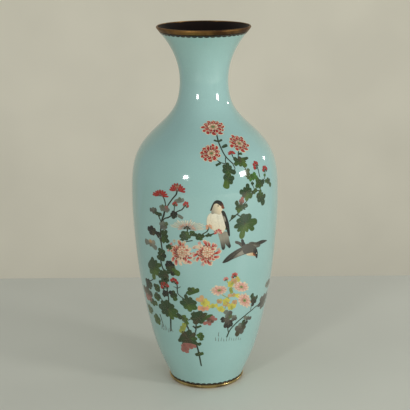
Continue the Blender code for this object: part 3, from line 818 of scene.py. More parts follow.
def buildUpperSpray():
    s = Spray()
    redBlossom(s, (13.2, 343.6), (15.8, 11.4), 0, 11, 12, (-0.8, 0.8), 0.42)
    redBlossom(s, (5.2, 317.8), (14.0, 12.2), 12, 21, 11, (1.4, -0.6), 0.38)
    redBlossom(s, (38.9, 325.4), (15.2, 12.0), -22, 31, 11, (0.6, -0.4), 0.38)
    sideBlossom(s, "red", (26, 315.4), (5.6, 4.6), 0, 41, 7)
    budCells(s, (49.3, 297.6), (6.4, 7.6), 38, 51)
    budCells(s, (59.2, 289.8), (6.8, 6.8), 0, 55)
    leaves = [
        ((19, 299.5), [(20, 306.8, 7, "dark"), (15.4, 304.5, 6, "dark"), (14.5, 298, 6, "blue"),
            (20, 292.5, 7, "green"), (26, 294.5, 5, "dark"), (23, 302.5, 5, "dark")]),
        ((19, 288.8), [(15.4, 293, 6, "blue"), (16.8, 277.5, 8.5, "olive"), (22, 282.5, 6.5, "dark"),
            (24.2, 289, 5, "blue"), (20.5, 295, 6, "green")]),
        ((33, 305.8), [(26.5, 310.5, 6, "dark"), (32, 311.8, 7, "brown"), (38.5, 306, 7, "olive"),
            (42.2, 308.8, 4, "dark"), (38.5, 301, 6, "olive"), (31, 301.5, 7, "green"),
            (26, 304.5, 5, "green")]),
        ((48, 278), [(47.5, 284.8, 7, "green"), (46.2, 272.5, 7, "green"), (51, 281, 5, "dark"),
            (49.8, 271.2, 7, "green")]),
        ((52.6, 276.8), [(55.8, 278.8, 5, "blue"), (52, 272.6, 6, "blue"), (49.8, 279.5, 5, "dark")]),
        ((61.3, 276), [(57.2, 278.2, 4, "green"), (61, 280.8, 6, "green"), (66.3, 269.8, 6, "green"),
            (65, 276, 5, "dark"), (60.8, 273, 5, "green")]),
        ((34.6, 270), [(28.4, 272, 8, "blue"), (32.6, 276.4, 7, "blue"), (36.6, 280, 6, "blue"),
            (40, 272.5, 6, "dark"), (40, 262.5, 8, "green"), (35.4, 259.6, 9, "olive"),
            (31, 264.4, 6, "brown")]),
        ((43, 269), [(40.2, 266.8, 4, "dark"), (46, 270.8, 5, "green"), (43, 265.8, 5, "green")]),
        ((50, 260.5), [(45.6, 264.6, 6, "dark"), (49.6, 269.4, 6, "green"), (53.2, 264.5, 7, "green"),
            (56.6, 260, 7, "dark"), (54.4, 249.8, 7, "blue"), (47.2, 254.8, 7, "blue")]),
        ((28.2, 252.6), [(25.2, 261.5, 6, "dark"), (28.2, 257, 6, "dark"), (26.4, 246.8, 8, "olive"),
            (31, 249.3, 6, "green"), (35.8, 253, 6, "blue"), (33.4, 249.2, 5, "blue"),
            (24.4, 251.5, 6, "dark")]),
        ((41.6, 278.6), [(40.2, 280.5, 3, "blue"), (43, 279.5, 3, "blue"), (41, 276.8, 3, "blue")]),
        ((57.6, 284.6), [(56.2, 286, 3, "bright"), (59, 284.8, 3, "bright"), (57.6, 282.8, 3, "dark")]),
        ((21, 324.3), [(17.6, 323, 2.4, "blue"), (24.2, 325, 3, "dark")]),
        ((12, 330), [(14.8, 329.4, 2, "blue"), (10.6, 331, 2.4, "dark")]),
        ((18, 330), [(15.2, 329.2, 2, "blue"), (20, 330.8, 2.4, "dark")]),
        ((35, 314.6), [(33, 315, 2.4, "dark"), (37, 314.4, 3, "green")]),
        ((10.8, 305.4), [(9.2, 304.6, 2.4, "dark"), (13.6, 307, 2.4, "dark")]),
    ]
    addLeaves(s, "green", leaves)
    light = [
        ((37.2, 291.4), [(35.6, 297, 7, "moss"), (39.4, 297.4, 6, "moss"), (34.8, 289, 7, "moss"),
            (38.4, 285.4, 7, "green"), (40, 291, 5, "moss")]),
        ((43, 286.2), [(38.4, 284.2, 5, "bright"), (39.6, 288.6, 5, "green"), (46.4, 290, 7, "bright"),
            (48, 285.6, 6, "bright"), (43, 282.6, 6, "bright")]),
    ]
    addLeaves(s, "lightGreen", light)
    leafCell(s, "rose", (30, 260), [(31, 265, 6, "rose"), (29.2, 255.6, 6, "brown"), (27.8, 261.5, 5, "rose"),
                                    (32.4, 259.5, 5, "rose")], 0.3)
    stems = [
        ([(15, 336.5), (15.2, 329), (16.4, 322.5), (18.8, 314.5), (22.5, 308.5), (25.4, 304.5)], 1.9),
        ([(19.6, 314), (18.4, 310), (18.2, 305)], 1.4),
        ([(10.6, 310.4), (13.8, 307.4), (17.6, 306)], 1.3),
        ([(35.4, 319.6), (33, 315), (31.4, 310.5)], 1.6),
        ([(26, 316), (26.6, 311.5), (28, 308.5)], 1.5),
        ([(24.6, 304.6), (26, 299.4), (23, 296.5)], 1.2),
        ([(49.8, 297.6), (50.2, 291), (50.6, 284.5)], 1.6),
        ([(58.8, 289.6), (57.8, 284), (55, 278.6)], 1.4),
        ([(34, 301.5), (36, 298.5), (37, 294)], 1.2),
        ([(55.5, 278.6), (58.5, 278)], 1.2),
        ([(41.4, 282), (41.6, 277.5), (43.4, 271)], 1.2),
        ([(50, 271.6), (50.4, 266)], 1.6),
        ([(38.8, 271), (41.6, 269.4)], 1.4),
        ([(45.4, 269.6), (48.2, 268.6), (50, 266.4)], 1.5),
        ([(36.4, 261), (33.4, 257.4), (30.6, 255)], 1.3),
        ([(29, 248.6), (26.4, 245.4), (22.4, 241.6), (19, 237)], 1.8),
        ([(25.4, 245), (28.6, 241.6), (31.5, 238)], 1.6),
    ]
    addStems(s, stems)
    leafCell(s, "green", (33, 232), [
        (30.4, 243.8, 9, "blue"), (38.9, 241.4, 8, "blue"), (45.8, 229.6, 9, "green"),
        (42.8, 221.6, 8, "green"), (36.2, 220.6, 9, "olive"), (30, 213.2, 10, "olive"),
        (23.4, 229, 9, "blue"), (25.4, 236.8, 7, "blue"), (26.4, 223.4, 8, "green")], 0.3, 0.92)
    leafCell(s, "green", (22, 242.4), [(21.2, 244.4, 2.4, "dark"), (20.8, 239.6, 2.6, "dark"),
                                       (24.6, 243, 2.4, "dark")])
    finishSpray("upperSpray", s, dict(
        red=("red_enamel", ("upper_blossom_top", "upper_blossom_left", "upper_blossom_right",
                            "upper_bud_left", "upper_bud_right")),
        cream=("cream_enamel", ()),
        green=("green_enamel", ("upper_leaf_tall", "upper_leaf_shoulder", "upper_leaf_broad",
                                "upper_leaf_right", "upper_leaf_low", "branch_leaf_large")),
        lightGreen=("light_green_enamel", ("upper_leaf_middle", "upper_leaf_edge")),
        rose=("pink_enamel", ()), stem=("stem_enamel", ())))


def addLeftUpper(s):
    sideBlossom(s, "red", (-36.4, 265.4), (12.4, 8.2), 3, 61)
    sideBlossom(s, "red", (-21.6, 274.2), (11, 10), -2, 65)
    flowerRing(s, "red", (-21.6, 276), (6, 6.4), 5, 0.05, 1.0, ("red", "salmon", "moss"), 0, (60, 120), 1.0,
               1.0, seed=67)
    budCells(s, (-23.4, 256.6), (3.8, 5.6), -4, 71)
    budCells(s, (-14.8, 256.4), (4.4, 6.6), -14, 75)
    stems = [
        ([(-34, 266), (-32.4, 262), (-31.6, 257), (-31.4, 252.6), (-32.6, 247)], 1.7),
        ([(-21.6, 274.6), (-22.4, 270), (-25.4, 264.4), (-28.6, 257.4), (-30.2, 253)], 1.9),
        ([(-23.5, 257), (-23.9, 253), (-24, 248.6)], 1.3),
        ([(-15.6, 257), (-17.6, 252.4), (-21.4, 249.4), (-23.6, 247)], 1.6),
        ([(-26.6, 243.4), (-29.4, 240.4), (-32.4, 238.6), (-34.8, 234.4)], 1.8),
        ([(-38.4, 240.8), (-37, 237), (-36, 233.6)], 1.8),
        ([(-32.4, 247.6), (-33.4, 242), (-35, 236), (-36.4, 226), (-37, 215), (-36.8, 205),
          (-36.2, 196)], 2.6),
        ([(-34.6, 224), (-34.9, 214), (-34.6, 206)], 1.4),
        ([(-39.4, 214.4), (-37.6, 209), (-36.8, 203)], 1.5),
    ]
    addStems(s, stems, "deep")
    grey = [
        ((-19.6, 263.4), [(-23.6, 261.4, 3.6, "mist"), (-16, 264.8, 4, "mist"), (-18.8, 266.8, 4, "moss")]),
        ((-43, 245.6), [(-47.4, 246.4, 6, "grey"), (-44.4, 249.4, 6, "mist"), (-40, 247.8, 6, "grey"),
            (-38.8, 243, 5, "dark"), (-44, 242, 5, "grey")]),
        ((-34, 251.4), [(-37.2, 252.6, 6, "mist"), (-34.4, 255.6, 6, "moss"), (-31, 253.4, 5, "mist"),
            (-32, 248.4, 5, "mist"), (-36.2, 248.4, 5, "mist")]),
        ((-30, 250.4), [(-31, 254.6, 4, "rose"), (-28, 249.4, 4, "mist"), (-30.6, 246.6, 4, "mist")]),
        ((-19, 243.4), [(-21.2, 244.8, 3, "mist"), (-17, 241.2, 3, "mist")]),
        ((-33.5, 229.2), [(-37.6, 231, 6, "mist"), (-34, 235, 6, "mist"), (-29.8, 233.4, 6, "moss"),
            (-30.4, 227.4, 6, "grey"), (-33, 223.8, 6, "mist"), (-37, 225.8, 5, "grey")]),
        ((-48.4, 202.2), [(-56.2, 201.6, 7, "mist"), (-49, 207, 7, "tan"), (-43.2, 204.6, 6, "ash"),
            (-41.8, 197.2, 6, "mist"), (-50, 198.2, 6, "mist")]),
    ]
    addLeaves(s, "grey", grey)
    dark = [
        ((-38, 242.2), [(-41, 243.8, 3, "dark"), (-35, 242.6, 4, "dark"), (-37.2, 239.8, 4, "dark")]),
        ((-24.3, 244.9), [(-27.2, 245.6, 5, "black"), (-25.2, 249.8, 6, "black"),
            (-21.4, 246.8, 6, "black"), (-22, 242.2, 6, "deep"), (-25, 239.8, 6, "deep")]),
        ((-46.2, 219.4), [(-51.2, 219.4, 7, "black"), (-49.2, 215, 7, "black"), (-45, 225.4, 8, "black"),
            (-42, 222.4, 6, "deep"), (-43.2, 215, 7, "brown")]),
        ((-40, 216.4), [(-42.4, 218.8, 4, "black"), (-37.4, 218.4, 4, "deep"), (-38.4, 213.2, 5, "black")]),
    ]
    addLeaves(s, "dark", dark, 0.2)
    green = [
        ((-33, 216), [(-34.2, 223.4, 7, "dark"), (-31.8, 224.4, 5, "dark"), (-30, 217, 6, "dark"),
            (-31, 207.6, 7, "dark"), (-34.6, 207, 6, "green")]),
        ((-29.3, 202.6), [(-32.4, 202, 6, "dark"), (-29.2, 206.6, 6, "dark"), (-26, 202.6, 6, "green"),
            (-29, 199.2, 6, "green")]),
    ]
    addLeaves(s, "green", green)


def addLeftLower(s):
    leaves = [
        ((-37.5, 190.6), [(-39, 199, 7, "dark"), (-34.4, 197.4, 6, "dark"), (-32.8, 190, 6, "deep"),
            (-36, 182.6, 6, "dark"), (-42, 184.6, 6, "dark"), (-41.2, 192, 6, "dark")]),
        ((-30, 179), [(-34.4, 178, 6, "black"), (-33, 183.4, 5, "black"), (-28, 184.4, 6, "black"),
            (-25.6, 180, 7, "black"), (-30, 173.8, 7, "brown")]),
        ((-27.5, 171.6), [(-33.8, 174.2, 6, "dark"), (-27, 178, 7, "olive"), (-21.2, 168.8, 6, "olive"),
            (-28.6, 165.6, 7, "black"), (-34.2, 169.4, 6, "dark")]),
        ((-47, 170), [(-48, 184, 6, "dark"), (-43.4, 181.4, 7, "dark"), (-38.8, 177.4, 7, "green"),
            (-55, 170, 9, "dark"), (-53, 160.8, 8, "green"), (-49.6, 154, 9, "olive"),
            (-44, 161, 9, "olive"), (-40.4, 170, 7, "green")]),
        ((-37.5, 163.6), [(-43, 160.4, 7, "dark"), (-39.2, 170, 6, "dark"), (-34.6, 171.4, 6, "dark"),
            (-31.8, 163, 7, "brown"), (-34.4, 156.6, 7, "dark"), (-39, 156.8, 6, "dark")]),
        ((-37, 155.4), [(-42.6, 150.6, 6, "dark"), (-39.4, 159.4, 6, "dark"), (-32.2, 160.4, 6, "dark"),
            (-34, 152.6, 6, "dark")]),
        ((-37, 138.6), [(-40.2, 135.2, 8, "deep"), (-38.8, 142.8, 7, "black"), (-33.8, 141.6, 7, "black"),
            (-34.8, 136.4, 6, "deep")]),
        ((-29, 138.6), [(-32.4, 143.8, 6, "black"), (-28, 145.4, 7, "dark"), (-25.4, 141, 7, "dark"),
            (-27.2, 131.4, 8, "green"), (-31.6, 135.4, 6, "dark")]),
        ((-46.5, 143.4), [(-50.4, 146.4, 5, "dark"), (-43.2, 147, 5, "green"), (-43.8, 139, 6, "dark"),
            (-49.2, 139.6, 6, "green")]),
        ((-48, 130.2), [(-52.4, 129.4, 6, "green"), (-49.2, 136, 6, "dark"), (-43.6, 133, 6, "dark"),
            (-47.4, 124.8, 7, "green")]),
        ((-58, 144), [(-63.4, 148, 8, "deep"), (-57, 151, 7, "deep"), (-52.6, 145, 7, "dark"),
            (-56, 137.4, 8, "dark"), (-62.6, 138, 8, "deep")]),
        ((-56, 119.2), [(-62, 119, 6, "green"), (-55, 124.4, 7, "dark"), (-49.6, 120.4, 6, "green"),
            (-55, 114.4, 6, "green")]),
        ((-66, 105), [(-73, 108, 7, "green"), (-66, 111.4, 7, "olive"), (-60, 107, 7, "green"),
            (-64, 99.4, 7, "green"), (-71.6, 100.6, 7, "olive")]),
        ((-55, 96), [(-60, 98.6, 7, "olive"), (-54.4, 103.6, 7, "green"), (-49.6, 98, 7, "green"),
            (-52.4, 89, 7, "olive"), (-58.6, 89.6, 7, "green")]),
        ((-37, 117), [(-48, 117, 10, "blue"), (-43.4, 126.4, 8, "dark"), (-36, 130, 9, "dark"),
            (-29.6, 124.6, 9, "dark"), (-26, 116.6, 8, "green"), (-26.8, 108.4, 8, "green"),
            (-31.8, 104.2, 9, "olive"), (-39.4, 105.8, 9, "dark"), (-45, 109, 8, "dark")]),
    ]
    addLeaves(s, "green", leaves, fullFrom=7)
    leafCell(s, "rose", (-63, 127), [(-73, 133, 9, "brown"), (-62, 138, 9, "brown"), (-55.4, 132, 7, "brown"),
                                     (-58, 120.6, 8, "rose"), (-70, 119.6, 8, "rose")])
    budCells(s, (-36.6, 146.6), (8.2, 8.6), 22, 151)
    budCells(s, (-27.2, 156.4), (6.4, 7), -14, 155)
    stems = [
        ([(-36.4, 197), (-37.2, 190), (-38.6, 183), (-37.6, 175), (-35.6, 168), (-34.6, 160), (-34.2, 152),
          (-34.6, 145), (-34.2, 138), (-34.5, 129)], 2.4),
        ([(-42, 184.4), (-39.4, 187)], 1.6),
        ([(-25.2, 157), (-24.4, 152.6), (-24.6, 148), (-24.4, 142.4), (-22.4, 139), (-19.6, 136.4)], 1.7),
        ([(-24.6, 148.6), (-22.8, 150.8), (-21.2, 152)], 1.0),
        ([(-24.8, 149), (-26.2, 150.4), (-28, 150.6)], 1.0),
        ([(-48.6, 155.6), (-52.4, 151.4), (-55.6, 149)], 1.4),
        ([(-44.8, 132.4), (-42.4, 128.6), (-39.6, 125)], 1.6),
        ([(-47.4, 141), (-47.2, 136.6), (-46.4, 134)], 1.2),
        ([(-34.8, 107), (-35.6, 99), (-36.4, 92), (-37, 85.6)], 2.5),
        ([(-48.6, 106), (-47.4, 98), (-46.2, 88.6)], 1.5),
        ([(-27.4, 113.4), (-24.6, 111.4), (-21.6, 107.4)], 1.7),
    ]
    addStems(s, stems)
    for turn, low, high, lean in ((-50, 84, 91, 2.4), (-47.6, 83.5, 92, -1.4), (-45.2, 84, 90, 1.2),
                                  (-42.6, 85, 93, -1), (-40.4, 82.5, 90, 2), (-38.4, 84, 89, 1.6),
                                  (-34.8, 85, 89, -1)):
        stemCell(s, "stem", [(turn, low), (turn + lean * 0.3, (low + high) / 2), (turn + lean, high)], 0.8,
                 "grey", taper=0.3)


def buildLeftSpray():
    s = Spray()
    addLeftUpper(s)
    addLeftLower(s)
    finishSpray("leftSpray", s, dict(
        red=("red_enamel", ("left_blossom_low", "left_blossom_high", "left_bud_outer", "middle_bud_left")),
        green=("green_enamel", ("middle_leaf_edge", "middle_leaf_right", "middle_leaf_low",
                                "lower_leaf_large")),
        stem=("stem_enamel", ("left_stem", "lower_stem")), grey=("grey_enamel", ("left_leaf_upper",)),
        dark=("black_enamel", ("left_leaf_dark", "left_leaf_brown")), rose=("pink_enamel", ())))


def buildMiddleFlowers():
    s = Spray()
    # the fan chrysanthemum, seen from the side, with thin rays
    fan = (-14, 228.2)
    flowerRing(s, "cream", fan, (23.5, 12.5), 21, 0.3, 1.0, ("cream", "cream", "white"), 0, (0, 172), -0.3,
               0.66, seed=81, uneven=0.1)
    flowerRing(s, "pink", fan, (12.5, 9), 13, 0.2, 0.95, ("rust", "salmon", "blush"), 0, (-6, 186), 0.3, 0.66,
               seed=82, uneven=0.12)
    flowerRing(s, "green", fan, (4.6, 4.6), 5, 0.05, 1.0, ("deep", "deep", "brown"), 0, (10, 170), 1.0, 1.1,
               seed=84)
    stemCell(s, "stem", [(-13.7, 229.6), (-13.7, 225), (-14.4, 221.4)], 1.9)
    leaves = [
        ((-15.6, 219.8), [(-20, 217.4, 7, "dark"), (-18, 225, 7, "dark"), (-13, 224.8, 6, "green"),
            (-11.2, 218.4, 7, "green"), (-14, 214, 6, "dark"), (-18.8, 213.6, 6, "dark")]),
        ((-9.8, 223.2), [(-11.8, 225.6, 5, "green"), (-8.4, 226, 5, "green"), (-7.6, 221, 5, "dark"),
            (-11.4, 220.4, 4, "dark")]),
        ((-4.5, 219.6), [(-8.2, 222.4, 5, "dark"), (-5, 223.6, 5, "dark"), (-0.8, 219.6, 6, "dark"),
            (-2.4, 215.4, 6, "green"), (-7, 216.2, 5, "dark")]),
        ((16.5, 231), [(15.4, 234.4, 3, "olive"), (17.2, 227, 3, "olive")]),
        ((2.2, 221.6), [(0.6, 219.8, 3, "dark"), (5, 221, 3, "dark"), (3, 223.6, 3, "dark")]),
    ]
    addLeaves(s, "green", leaves, -0.1)
    stems = [
        ([(17, 229.6), (13, 227), (8, 223.8), (4, 221.6), (0, 220.4), (-3, 219)], 1.9),
        ([(2.6, 230.4), (1.4, 226), (-2.4, 222.4)], 1.6),
        ([(-9.8, 214.2), (-14, 212.6), (-19, 210)], 1.4),
        ([(-21, 210), (-19.6, 213.8), (-17.8, 216)], 1.4),
    ]
    addStems(s, stems)
    sideBlossom(s, "red", (3.2, 230.6), (5, 6.4), 0, 91, 7, ("rust", "orange", "orange"), (-10, 190))
    sideBlossom(s, "red", (10.2, 223.8), (6, 6.6), 0, 95, 7, ("red", "pink", "red"), (-6, 186))

    # two large flowers: red petals on their upper left, cream and pink ones elsewhere
    def leftShade(angle):
        if cos(angle - radians(118)) > 0.2:
            return ("deepRed", "red", "salmon")
        return ("salmon", "cream", "blush") if sin(3 * angle) > 0.3 else ("deepRed", "red", "pink")

    def rightShade(angle):
        if any(cos(angle - radians(way)) > near for way, near in ((185, 0.72), (62, 0.8), (-50, 0.8))):
            return ("deepRed", "red", "pink")
        return ("salmon", "cream", "blush") if sin(4 * angle) > 0 else ("red", "red", "pink")

    edge = ("cream", "cream")
    for at, shade, seed, core in (((-19.4, 196.6), leftShade, 101, (1.4, 1.2)),
                                  ((0.6, 198.2), rightShade, 121, (1.6, 0.8))):
        flowerDisc(s, "pink", at, (12, 11.6), "deepRed", 0, -0.5, 0.9)
        flowerRing(s, "pink", at, (15.6, 15.2), 15, 0.4, 1.04, None, 0, level=0.0, curl=0.3, seed=seed,
                   shading=shade, fill=0.8, edge=edge, uneven=0.2)
        flowerRing(s, "pink", at, (12.4, 12), 12, 0.4, 0.92, None, 0, level=0.6, curl=-0.26, seed=seed + 1,
                   shading=shade, fill=0.8, edge=edge, uneven=0.16)
        flowerDisc(s, "cream", at, (6.4, 6.8), "salmon", 0, 1.0, 1.0, 18, True, core)
        flowerRing(s, "cream", at, (6.6, 7), 10, 0.42, 1.0, ("blush", "cream", "cream"), 0, level=1.3,
                   seed=seed + 2, centre=core, fill=0.84)
        flowerRing(s, "cream", at, (3.6, 3.8), 6, 0.1, 0.98, ("pale", "cream", "cream"), 0, level=1.7,
                   seed=seed + 3, centre=core, fill=0.84)
    strays = [
        ((-26.4, 204.6), (3.6, 5.2), 30, ("deepRed", "pink", "pink")),
        ((-24.4, 207.6), (3.4, 6), 8, ("ash", "cream", "ash")),
        ((-20.6, 205.6), (3.6, 6), 0, ("red", "orange", "cream")),
        ((-28.6, 198), (4.0, 4.4), 70, ("red", "pink", "pink")),
        ((-16.8, 207), (3.4, 7), -12, ("rust", "cream", "cream")),
        ((-23.4, 189), (3.6, 6), 170, ("rust", "blush", "pink")),
        ((-11.4, 197), (4.4, 4.8), -90, ("salmon", "cream", "pink")),
        ((-7.6, 203.4), (3.8, 4.6), 50, ("red", "pink", "cream")),
        ((-3.6, 208), (3.4, 6), 24, ("red", "pink", "pink")),
        ((-8.2, 192.4), (3.4, 6), 150, ("moss", "cream", "cream")),
        ((1.4, 208.6), (3, 6), -6, ("red", "pink", "cream")),
        ((6.4, 205.4), (3.6, 5.8), -52, ("deepRed", "red", "pink")),
        ((-1.8, 188.4), (3.6, 8), 176, ("red", "pink", "blush")),
        ((3.8, 188.6), (3.8, 5), 196, ("rust", "orange", "cream")),
        ((8.4, 202), (3.2, 5.6), -82, ("cream", "pink", "cream")),
        ((-15.4, 188.6), (3.6, 5.4), 205, ("salmon", "cream", "blush")),
    ]
    for i, (at, size, tilt, colours) in enumerate(strays):
        flowerRing(s, "pink", at, size, 2, 0.03, 1.0, colours, tilt, (66, 114), -0.1, 0.9, seed=140 + i,
                   edge=edge if i % 2 else None)
    finishSpray("middleFlowers", s, dict(
        cream=("cream_enamel", ("fan_blossom",)),
        pink=("pink_enamel", ("pair_blossom_left", "pair_blossom_right")), red=("red_enamel", ()),
        stem=("stem_enamel", ()), green=("green_enamel", ("fan_leaf_left", "fan_leaf_right"))))


def buildBirds():
    s = Spray()
    # the perched bird: body, face, cap, wing and tail
    outlineCell(s, "tail", [(10, 224), (11.4, 214), (12.4, 206), (13.2, 202.2), (14.6, 201.4),
        (15.8, 204.6), (15.4, 211), (15.2, 224)], fade("ash", "soot", (13, 216), (14, 203)), 0.2)
    outlineCell(s, "tail", [(14.6, 224), (15, 214), (15.8, 209), (18, 205), (19.4, 202.8), (20.7, 205.4),
        (19.4, 212), (17.6, 223)], fade("ash", "soot", (16, 217), (19, 206)), 0.3)
    outlineCell(s, "body", [(5.4, 249.5), (3, 247.5), (1.5, 243), (1.2, 236), (3, 231), (6.5, 227),
        (9, 224.2), (11.4, 222.6), (14, 224), (15.8, 229), (15.4, 235), (14.2, 242), (13, 249), (9.5, 251)],
        fade("cream", "white", (2, 226), (11, 246)), 0.4)
    outlineCell(s, "body", [(5, 247.6), (4.9, 252), (6.2, 257), (7.6, 260.4), (10, 260.8), (12, 258.4),
        (13.6, 254.4), (12.6, 250), (11, 246.4), (7.6, 248.2)],
        fade("ash", "cream", (5, 252), (10, 255)), 0.8)
    outlineCell(s, "black", [(3.8, 251.6), (4.6, 255.6), (5.8, 260), (7.2, 263), (9.4, 264.3), (12, 263),
        (13.6, 260.2), (14.4, 256.6), (14.4, 254), (12.8, 256), (11, 258), (9, 260.2), (7.2, 259.6),
        (6, 256.6), (5.1, 252.4)], fade("black", "rust", (11, 261), (15, 252)), 1.2)
    outlineCell(s, "black", [(12.6, 257.6), (14, 256.6), (15, 254.2), (14, 253.2), (12.6, 254.6)],
        "rust", 1.4)
    outlineCell(s, "black", [(12.4, 250.6), (14.6, 250.4), (16.2, 246), (17.4, 240.6), (18.6, 234.6),
        (19.2, 228), (19.7, 220), (19.1, 218), (18, 220.6), (17, 225.6), (16, 230.4), (14.8, 237),
        (13.4, 244.4)], fade("soot", "black", (13, 249), (16, 236)), 1.0)
    outlineCell(s, "tail", [(13.9, 244.4), (15.2, 243), (16, 239), (15.2, 237), (14.4, 240)], "ash", 1.4)
    for start, end in (((12.8, 248.6), (17.6, 226)), ((14.4, 246), (18.6, 224)), ((13.4, 244), (16.6, 229))):
        s.wire(smoothLine([start, ((start[0] + end[0]) / 2 + 0.5, (start[1] + end[1]) / 2), end], 4), 1.6)
    for end in ((12.8, 205), (14.4, 204), (18.8, 206)):
        s.wire([(13.4 + (end[0] - 14) * 0.3, 222), ((13.4 + end[0]) / 2, (222 + end[1]) / 2), end], 0.9)
    for start, middle, end in (((4.6, 246), (4.2, 240), (6, 232)), ((9.6, 246), (10, 239), (11.4, 229))):
        s.wire(smoothLine([start, middle, end], 3), 0.8)
    outlineCell(s, "black", [(9.4, 257.2), (10, 257.9), (10.6, 257.2), (10, 256.5)], "black", 1.6, 2)
    finishSpray("perchedBird", s, dict(
        tail=("grey_enamel", ()), body=("cream_enamel", ("perched_bird",)),
        black=("black_enamel", ("perched_bird_wing",))))

    f = Spray()
    # the flying bird: tail feathers, near wing, far wing, body, head
    outlineCell(f, "body", [(34, 203.6), (31, 207), (27.6, 210), (24.6, 211), (24.8, 208), (27.6, 206),
        (30.8, 202)], "slate", 0.1)
    outlineCell(f, "body", [(35, 203), (33.2, 207.6), (31.8, 211.8), (30, 211.6), (30.4, 207.4),
        (31.6, 202.6)], "soot", 0.3)
    outlineCell(f, "body", [(13.6, 184.4), (15.4, 189), (19.6, 194.6), (25, 198.9), (31, 201.8),
        (36, 201.8), (38, 197), (36, 192.4), (31, 191), (26, 189.4), (22, 187.6), (17.6, 185)],
        fade("soot", "slate", (16, 187), (33, 197)), 0.5)
    outlineCell(f, "body", [(22.6, 188.6), (27, 190.4), (32, 192), (35.6, 194.6), (35, 198), (31.6, 197.4),
        (27, 194.2)], fade("slate", "ash", (23, 189), (30, 194)), 0.8)
    outlineCell(f, "body", [(38, 205.4), (41.4, 205.9), (46, 203.8), (52, 204.2), (57, 203), (61.6, 200.4),
        (56, 199.4), (50, 198.8), (46, 199.6), (41, 200.6)],
        fade("slate", "soot", (40, 203), (50, 201.6)), 0.5)
    outlineCell(f, "body", [(41, 202.2), (46, 200.6), (51.6, 199), (50.6, 196.6), (46, 196.6), (42, 199)],
        fade("ash", "slate", (42, 201), (48, 198)), 0.9)
    outlineCell(f, "body", [(31.6, 203), (36, 204.8), (40, 204), (43.6, 200.4), (46.4, 196.6), (44.6, 192),
        (41, 190.6), (36.4, 190.8), (33, 193.8), (31.6, 198)], "slate", 1.2)
    outlineCell(f, "body", [(35.6, 191.6), (39, 192), (42.6, 191.4), (44.6, 189.4), (46.6, 185.6),
        (43.6, 187), (40, 188.2), (37, 189.6)], fade("cream", "tan", (37, 190), (44, 188)), 1.5)
    outlineCell(f, "head", [(42.4, 198.6), (45.6, 197.6), (47.8, 193.6), (48.8, 189), (48.9, 184.6),
        (48.4, 182.2), (46.9, 184), (45.4, 187.6), (43.6, 190.8), (42.2, 194.6)],
        fade("slate", "black", (43, 197), (46.4, 191)), 1.7)
    outlineCell(f, "head", [(43.4, 191), (45.2, 189.2), (46.6, 186), (45.4, 186.4), (43.4, 188.4)],
        "rust", 2.0)
    for end in ((17, 186.6), (19, 189), (22, 192)):
        f.wire(smoothLine([(33, 199), ((33 + end[0]) / 2, (200 + end[1]) / 2 + 1.6), end], 4), 1.1)
    for end in ((57, 201.6), (54, 200.4), (49.6, 198)):
        f.wire(smoothLine([(41, 202), ((41 + end[0]) / 2, 202), end], 4), 1.3)
    outlineCell(f, "body", [(46.6, 189.2), (47.2, 189.9), (47.8, 189.2), (47.2, 188.5)], "cream", 2.3, 2)
    finishSpray("flyingBird", f, dict(body=("grey_enamel", ("flying_bird",)), head=("black_enamel", ())))


